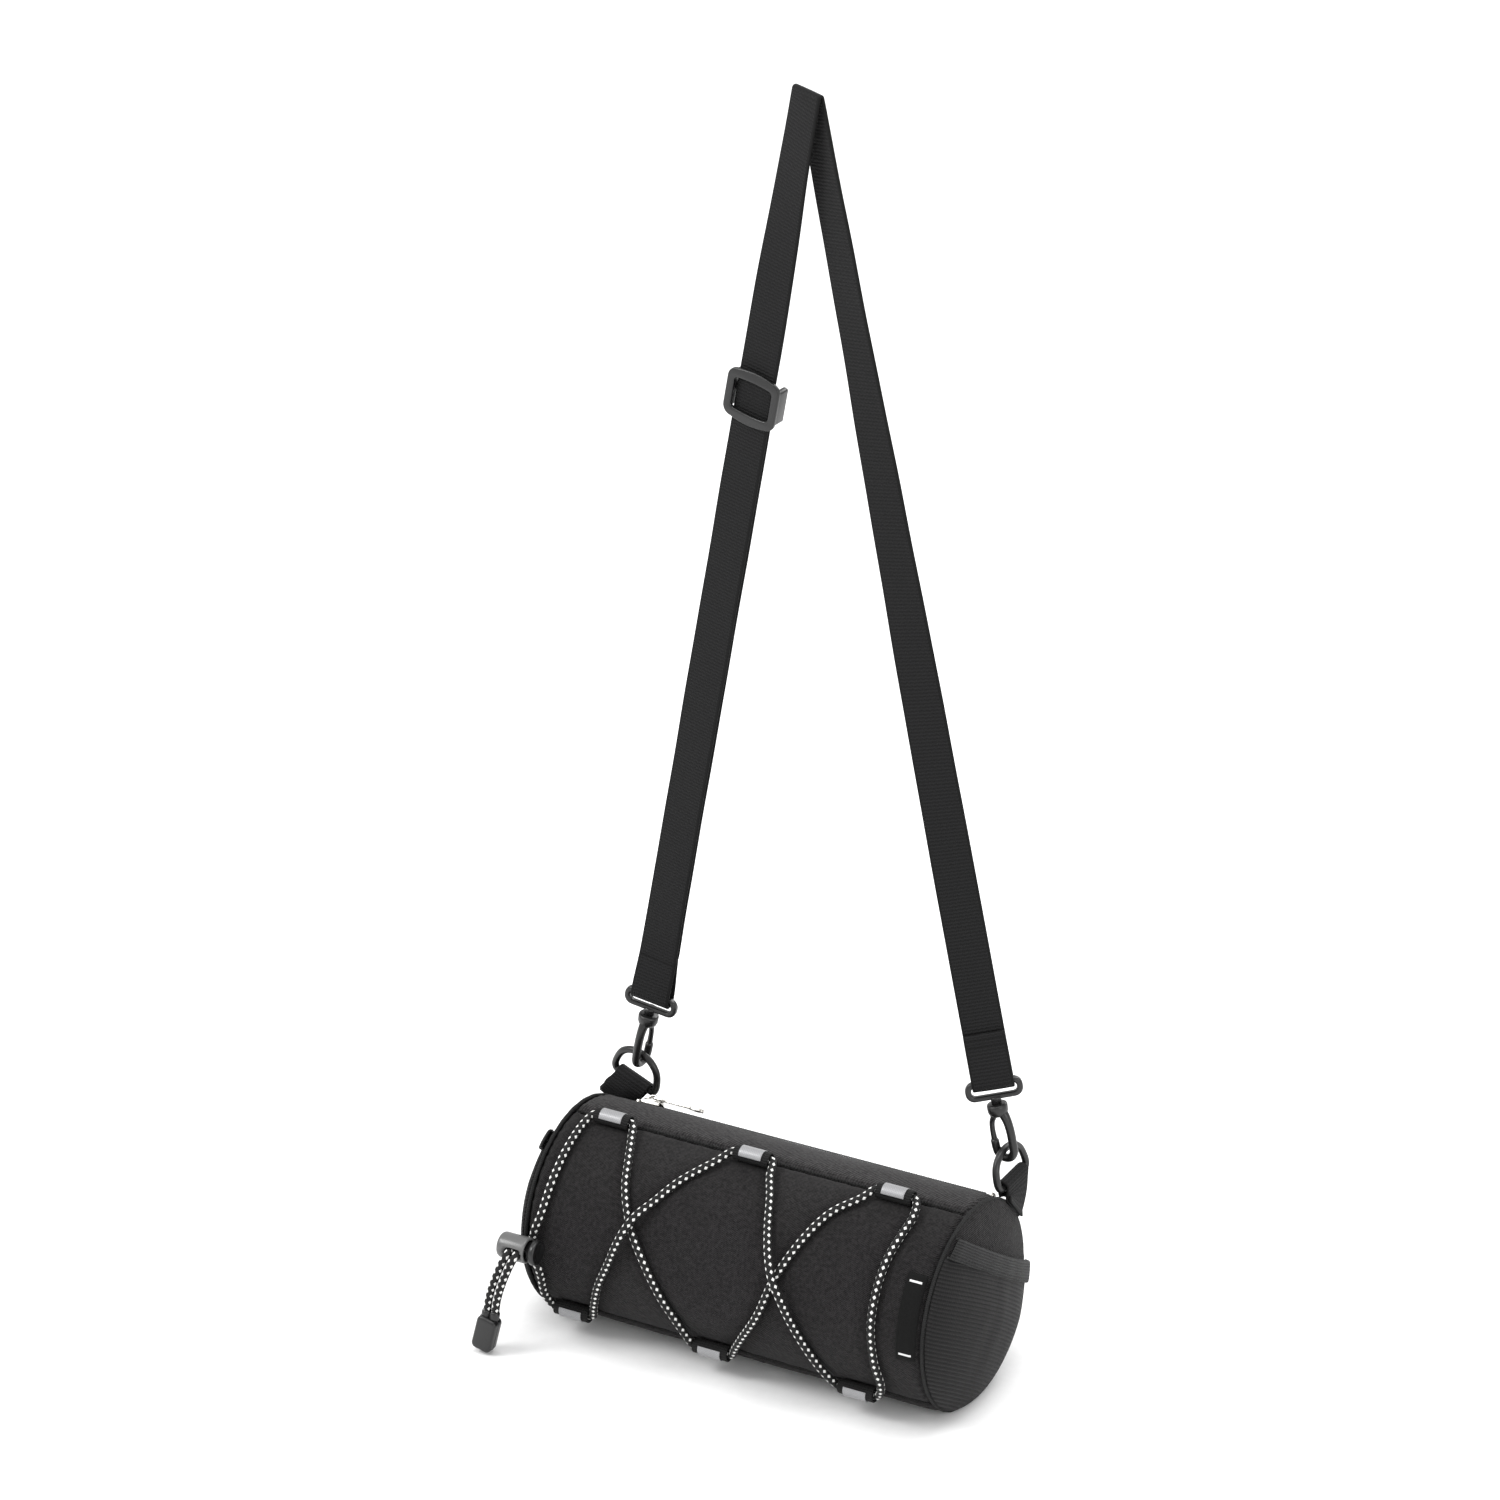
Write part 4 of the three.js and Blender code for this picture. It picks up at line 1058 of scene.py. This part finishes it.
def make_zip():
    make_tape("front", ZIP_ANGLE + 0.25, ZIP_ANGLE + ZIP_HALF_ANGLE, 2)
    make_tape("back", ZIP_ANGLE - ZIP_HALF_ANGLE, ZIP_ANGLE - 0.25, 5)
    for name, x in (("left", -95.8), ("right", 95.8)):
        matrix = flat(x, 0, RADIUS + 1.0)
        stop = plate_object("stop_" + name, [rounded(2.4, 4.4, 0.9)], -1.05, 1.05, 0.35, matrix, "nickel")
        finished(stop, "bag", "nickel", "zip_stop_" + name)
    make_slider()


def make_tape(name, low, high, seed):
    """One zip tape with its half of the coil."""
    def woven(degrees, x):
        radius = RADIUS - 0.3 + 0.15 * noise.noise(Vector((x / 14, degrees / 8, seed)))
        return on_body(x, degrees, radius), (mm(x), mm(math.radians(degrees) * RADIUS))

    columns = np.linspace(2 - LEFT_LENGTH, HALF_LENGTH - 2, 130)
    points, uvs = sampled(np.linspace(low, high, 9), columns, woven)
    tape = grid_object("zip_tape_cloth_" + name, points, uvs, "tape", thickness=0.9)
    finished(tape, "bag", "zip_tape", "zip_tape_" + name)
    coil = make_coil("coil_" + name, -1 if name == "front" else 1)
    finished(coil, "bag", "zip_coil", "zip_coil_" + name)


def make_coil(name, side):
    """A flattened nylon helix, its turns meeting the other coil's along the middle."""
    pitch = 1.3
    turns = int(188 / pitch)
    path = []
    for k in range(turns * 10):
        turn = 2 * math.pi * k / 10
        x = -94 + pitch * k / 10 + (pitch / 2 if side > 0 else 0)
        across = 1.02 + 1.0 * math.cos(turn)
        path.append((x, side * across, RADIUS + 0.62 + 0.52 * math.sin(turn)))
    coil = tube_object(name, np.array(path), 0.3, "coil", 6)
    place(coil, ZIP_FRAME)
    return coil


def flat(x, y, z):
    """A frame for a plate lying flat on the zip, its (x, z) outline along and across the zip."""
    return ZIP_FRAME @ Matrix.Translation((x, y, z)) @ Matrix.Rotation(math.radians(90), 4, "X")


def make_slider():
    x = ZIP_SLIDER_X
    shield = slider_outline(4.0, 2.9)
    top = plate_object("slider_top", [shield], -0.6, 0.6, 0.35, flat(x, 0, RADIUS + 2.9), "nickel")
    rails = []
    for sign in (-1, 1):
        rails.append(plate_object("slider_rail", [rounded(9.4, 0.9, 0.3)], -0.9, 0.9, 0.25,
                                  flat(x, sign * 3.3, RADIUS + 1.6), "nickel"))
    bridge = plate_object("slider_bridge", [bridge_outline()], -1.1, 1.1, 0.45,
                          ZIP_FRAME @ Matrix.Translation((x, 0, RADIUS + 3.3)), "nickel")
    finished(merge(top, *rails, bridge), "zip_slider", "nickel", "zip_slider")
    pull = flat(x, 0, RADIUS + 4.4)
    eye = [rounded(7.4, 5.2, 1.5, x=3.0), rounded(4.1, 3.1, 0.9, x=2.75)]
    loop = plate_object("pull_loop", eye, -0.5, 0.5, 0.3, pull, "nickel")
    shank = plate_object("pull_shank", [rounded(15.4, 3.4, 1.2, x=13.5)], -0.5, 0.5, 0.25, pull, "nickel")
    grip = [rounded(7.4, 3.8, 1.6, x=23.3), rounded(3.0, 1.2, 0.5, x=23.8)]
    tip = plate_object("pull_tip", grip, -0.9, 0.9, 0.4, pull, "nickel")
    finished(merge(loop, shank, tip), "zip_pull", "nickel", "zip_pull")


def slider_outline(wide, narrow):
    """The slider's shield shape, broad in front and waisted behind."""
    points = []
    for k in range(40):
        turn = 2 * math.pi * k / 40
        x = 5.0 * math.copysign(abs(math.cos(turn)) ** 0.6, math.cos(turn))
        half = wide + (narrow - wide) * (0.5 - x / 10)
        points.append((x, half * math.copysign(abs(math.sin(turn)) ** 0.7, math.sin(turn))))
    return points


def bridge_outline():
    """The looped bridge as one band: over the top and back inside, leaving the eye for the pull."""
    outside = []
    inside = []
    for k in range(17):
        turn = math.pi * k / 16
        outside.append((3.3 * math.cos(turn) - 0.2, 0.5 + 2.5 * math.sin(turn)))
        inside.append((2.2 * math.cos(turn) - 0.2, 0.3 + 1.6 * math.sin(turn)))
    return outside + [(-3.5, -0.1), (-2.4, -0.1)] + inside[::-1] + [(2.0, -0.1), (3.1, -0.1)]


# ---- tabs, rings, hooks ----
def hook_direction(side):
    return (STRAP_TOP - EYES[side]).normalized()


def ring_rise(side):
    """From the ring's bar to the top of its bow, which hangs in the hook's curve."""
    return EYES[side] - hook_direction(side) * HOOK_DROP - BARS[side]


def half_turn(centre, across, first, middle, radius):
    """Webbing round half a circle, from the first direction through the middle one."""
    steps = 12
    stations = []
    for k in range(1, steps):
        turn = math.pi * k / steps
        out = first * math.cos(turn) + middle * math.sin(turn)
        stations.append((centre + out * radius, across, out))
    return stations


def make_tab(side, sign):
    seam_x = -LEFT_LENGTH if sign < 0 else HALF_LENGTH
    base = Vector(on_body(seam_x * 1.02, TAB_ANGLE, RADIUS + 1.2 + 3.5 * TAB_FOOT[side]))
    ring = frame_at(BARS[side], ring_rise(side), RING_ACROSS[side])
    rise = BARS[side] - base
    bar = ring.col[0].to_3d()
    angle = math.radians(-TAB_ANGLE)
    seam = Vector((0, math.cos(angle), -math.sin(angle))).lerp(bar, TAB_FOOT[side]).normalized()

    def facing(share):
        """Across, upward and facing directions at a share of the tab's height."""
        across = seam.lerp(bar, min(1.0, max(0.0, share) / 0.65)).normalized()
        up = (rise - across * rise.dot(across)).normalized()
        return across, up, across.cross(up)

    def layer(share, face):
        across, up, normal = facing(share)
        out = normal * face
        return base + rise * share + out * (0.8 + 2.0 * max(0.0, share)), across, out

    across, up, normal = facing(1.0)
    shares = [-0.25 + 1.25 * k / 20 for k in range(21)]
    stations = [layer(share, 1) for share in shares]
    stations += half_turn(BARS[side], across, normal, up, 2.8)
    stations += [layer(share, -1) for share in reversed(shares)]
    tab = ribbon_object("tab_webbing_" + side, stations, WEB_WIDTH - 1, 1.3, "webbing")
    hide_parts("tab_" + side)
    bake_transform(tab)


def make_ring(side):
    rise = ring_rise(side).length
    half = 12.0
    points = [(1 - half, 0, 0), (-half / 2, 0, 0), (half / 2, 0, 0), (half - 1, 0, 0), (half + 0.4, 0, 2.4)]
    for k in range(1, 8):
        turn = math.pi * k / 8
        points.append((half * math.cos(turn), 0, 6 + (rise - 6) * math.sin(turn)))
    points.append((-half - 0.4, 0, 2.4))
    path = smooth_path(points, 120, closed=True)
    ring = tube_object("ring_" + side, path, 1.8, "plastic", 16, closed=True)
    outer = path + unit(path - path.mean(axis=0)) * 1.68
    parting = tube_object("ring_line", outer, 0.22, "plastic", 6, closed=True)
    ring = merge(ring, parting)
    place(ring, frame_at(BARS[side], ring_rise(side), RING_ACROSS[side]))
    finished(ring, "strap_set", "black_plastic", "d_ring_" + side)


def make_hook(side):
    matrix = frame_at(EYES[side], hook_direction(side), HOOK_ACROSS[side])
    upright = matrix @ Matrix.Rotation(math.radians(90), 4, "Y")
    profile = [(7.4, 0.01), (7.4, 4.1), (7.7, 4.7), (8.4, 5.0), (11.2, 4.9), (12.6, 4.4), (13.4, 3.5),
               (13.8, 2.2), (13.9, 0.01)]
    collar = lathe_object("hook_collar", profile, upright, "plastic")
    points = [(-1.6, 0, -11), (-3.2, 0, -13.6), (-4.3, 0, -17), (-4.9, 0, -21.5), (-5, 0, 3 - HOOK_DROP)]
    for k in range(9):
        turn = math.pi * (1 + k / 8)
        points.append((4.9 * math.cos(turn), 0, -HOOK_DROP + 4.9 * math.sin(turn)))
    points.append((5.1, 0, -HOOK_DROP + 3.6))
    path = smooth_path(points, 90)
    share = np.linspace(0, 1, 91)
    radii = 2.15 + 0.35 * np.exp(-(share / 0.12) ** 2) - 0.15 * share
    wire = tube_object("hook_wire", path, radii, "plastic", 18)
    shoulder_path = smooth_path([(1.0, 0, -11.5), (2.5, 0, -13.2), (3.2, 0, -14.6)], 12)
    shoulder = tube_object("hook_shoulder", shoulder_path, 1.75, "plastic")
    nose_path = smooth_path([(5.1, 0, -28.9), (5.35, 0, -27.6), (5.2, 0, -26.6)], 8)
    nose = tube_object("hook_nose", nose_path, np.linspace(1.9, 1.5, 9), "plastic")
    for piece in (wire, shoulder, nose):
        place(piece, matrix)
    finished(merge(collar, wire, shoulder, nose), "hook_" + side, "black_plastic", "hook_" + side)
    gate_path = smooth_path([(3, 0, -14.6), (4.6, 0, -17.5), (5.2, 0, -21.5), (5.15, 0, 4.6 - HOOK_DROP)], 30)
    gate_radii = 1.45 - 0.15 * np.sin(np.linspace(0, math.pi, 31))
    gate = tube_object("gate_" + side, gate_path, gate_radii, "plastic")
    place(gate, matrix)
    finished(gate, "hook_gate_" + side, "black_plastic", "hook_gate_" + side)
    make_eye(side)


def make_eye(side):
    twist = math.radians(STRAP_TURN[side])
    matrix = frame_at(EYES[side], hook_direction(side), (math.cos(twist), math.sin(twist), 0))
    outlines = [rounded(27.4, 10, 4.4), rounded(21.6, 4.9, 2.2)]
    rim = plate_object("eye_" + side, outlines, -1.8, 1.8, 1.05, matrix, "plastic")
    upright = matrix @ Matrix.Rotation(math.radians(90), 4, "Y")
    profile = [(3.6, 0.01), (3.7, 3.2), (4.6, 2.9), (5.4, 2.5), (7.3, 2.4), (7.3, 0.01)]
    stub = lathe_object("eye_stub", profile, upright, "plastic")
    finished(merge(rim, stub), "strap_set", "black_plastic", "hook_eye_" + side)


# ---- strap ----
def smoothstep(t):
    t = min(1.0, max(0.0, t))
    return t * t * (3 - 2 * t)


def strap_turn(side, share):
    """How far the strap is turned about the vertical, from an eye (0) to the top fold (1)."""
    start = STRAP_TURN[side]
    if side == "right":
        return start + (TOP_TURN - start) * smoothstep(share)
    if share < 0.12:
        return start + (SLIDER_TURN - start) * smoothstep(share / 0.12)
    return SLIDER_TURN + (TOP_TURN - SLIDER_TURN) * smoothstep((share - 0.72) / 0.28)


def strap_station(side, share, offset):
    start = EYES[side] + hook_direction(side) * 3.7
    along = (STRAP_TOP - start).normalized()
    turn = math.radians(strap_turn(side, share))
    across = Vector((math.cos(turn), math.sin(turn), 0))
    across = (across - along * across.dot(along)).normalized()
    out = along.cross(across).normalized()
    return start.lerp(STRAP_TOP, share) + out * offset, across, out


def layer_offset(share):
    """Half the gap between two layers: the eye's bar apart, then closing up above it."""
    close = WRAP_RADIUS + (LAYER - WRAP_RADIUS) * smoothstep(share / 0.05)
    return close + (FOLD - LAYER) * max(0.0, (share - 0.9) / 0.1)


def layer_stations(side, shares, layer):
    """Stations of one layer: layer -1 lies in front and 1 behind."""
    stations = []
    for share in shares:
        at, across, out = strap_station(side, share, layer * layer_offset(share))
        stations.append((at, across, out * layer))
    return stations


def make_strap():
    strand = list(np.concatenate((np.linspace(0, 0.06, 12), np.linspace(0.07, 0.985, 130))))
    sewn = list(np.linspace(0.052, 0, 10))
    up = Vector((0, 0, 1))
    top_turn = math.radians(TOP_TURN)
    top_across = Vector((math.cos(top_turn), math.sin(top_turn), 0))
    stations = layer_stations("right", sewn, -1)
    stations += eye_turn("right", -1)
    stations += layer_stations("right", strand, 1)
    stations += half_turn(STRAP_TOP, top_across, up.cross(top_across), up, FOLD)
    stations += layer_stations("left", strand[::-1], -1)
    stations += eye_turn("left", -1)
    stations += layer_stations("left", list(np.linspace(0, 0.05, 10)), 1)
    strap = ribbon_object("strap_webbing", stations, WEB_WIDTH, WEB_THICK, "webbing", bow=0.12, wave=0.14)
    finished(merge(strap, *make_bar_tack()), "strap_set", "webbing", "strap")
    shares = list(np.linspace(0.0506, SLIDER_SHARE + 0.006, 110))
    stations = layer_stations("left", shares, 1)
    doubled = ribbon_object("strap_doubled", stations, WEB_WIDTH, WEB_THICK, "webbing", bow=0.12, wave=0.12)
    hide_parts("strap_return")
    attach(doubled, "strap_set")
    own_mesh(doubled)


def eye_turn(side, layer):
    at, across, out = strap_station(side, 0, 0)
    return half_turn(at, across, out * layer, -hook_direction(side), WRAP_RADIUS)


def make_bar_tack():
    """Stitch rows through both layers above each eye."""
    rows = []
    for side, shares in (("right", (0.040, 0.0475)), ("left", (0.044,))):
        for share in shares:
            for face in (-1, 1):
                at, across, out = strap_station(side, share, face * (layer_offset(share) + WEB_THICK / 2))
                path = [at + across * (-8.6 + 17.2 * k / 52) + out * face * 0.16 * math.cos(math.pi * k / 1.5)
                        for k in range(53)]
                rows.append(tube_object("tack", path, 0.28, "thread", 6))
    return rows


def make_tri_glide():
    at, across, out = strap_station("left", SLIDER_SHARE, 0)
    matrix = frame_at(at, hook_direction("left"), across)
    outlines = [rounded(28.4, 24.6, 5.0, arch=1.2), rounded(20.6, 15.6, 2.2, arch=0.5)]
    plate = plate_object("adjuster", outlines, -4.4, -2.2, 0.75, matrix, "plastic")
    rails = []
    for sign in (-1, 1):
        outline = rounded(3.2, 17.6, 1.3, x=sign * 12.3)
        rails.append(plate_object("adjuster_rail", [outline], -4.2, 4.4, 0.6, matrix, "plastic"))
    bar = plate_object("adjuster_bar", [rounded(24.0, 4.6, 1.5)], 2.4, 4.4, 0.6, matrix, "plastic")
    finished(merge(plate, *rails, bar), "tri_glide", "black_plastic", "tri_glide")


# ---- stage ----
def area_light(name, location, size, power):
    """A round soft light aimed at the bag."""
    data = bpy.data.lights.new(name, "AREA")
    data.shape = "DISK"
    data.size = size
    data.energy = power
    light = bpy.data.objects.new(name, data)
    bpy.context.collection.objects.link(light)
    light.location = location
    light.rotation_mode = "QUATERNION"
    light.rotation_quaternion = (Vector((0, 0, 0.2)) - Vector(location)).to_track_quat("-Z", "Y")
    return light


def make_stage():
    turns = np.linspace(0, 2 * math.pi, 65)[:-1]
    rings = [np.array([[(r * math.cos(t), r * math.sin(t), 0.0) for t in turns]])
             for r in (1, 400, 1500, 4000)]
    uvs = np.zeros((4, 65, 2))
    floor = grid_object("floor", np.concatenate(rings), uvs, "floor", closed=True)
    centre = np.concatenate([rings[0] * 0.01, rings[0]])
    middle = grid_object("floor_middle", centre, uvs[:2], "floor", closed=True)
    lights = [
        area_light("key", (-1.3, -1.1, 1.7), 0.9, 26.0),
        area_light("fill", (1.9, -0.8, 0.9), 1.0, 10.0),
        area_light("back", (0.3, 1.8, 1.5), 1.2, 20.0),
        area_light("top", (0.1, 0.0, 2.3), 1.4, 22.0),
    ]
    world = bpy.data.worlds.new("studio")
    world.use_nodes = True
    background = world.node_tree.nodes["Background"]
    background.inputs["Color"].default_value = (1, 1, 1, 1)
    background.inputs["Strength"].default_value = 0.95
    bpy.context.scene.world = world
    bpy.context.scene.view_settings.view_transform = "Standard"


def dress_nodes():
    """Every CAD node carries the material of its slot, shown or not."""
    slots = {"twill": "panel", "yoke_twill": "yoke", "foam_lining": "lining", "rib_knit": "knit",
             "elastic": "elastic", "zip_tape": "tape", "zip_coil": "coil", "nickel": "nickel",
             "shock_cord": "cord", "satin_plastic": "satin", "black_plastic": "plastic", "label": "label",
             "webbing": "webbing", "reflective": "reflector"}
    for part in frame["record"]["subparts"]:
        node = frame["nodes"][part["node"]]
        node.data.materials.clear()
        node.data.materials.append(MATERIALS[slots[part["material_slot"]]])


make_materials()
make_camera()
make_lacing()
make_tails()
make_lock()
make_panels()
make_seam_stitches()
for end_side, end_sign in (("left", -1), ("right", 1)):
    make_end(end_side, end_sign)
    make_pocket(end_side, end_sign)
    make_elastic(end_side, end_sign)
    make_tab(end_side, end_sign)
    make_ring(end_side)
    make_hook(end_side)
make_label()
make_loops()
make_zip()
make_strap()
make_tri_glide()
make_stage()
dress_nodes()
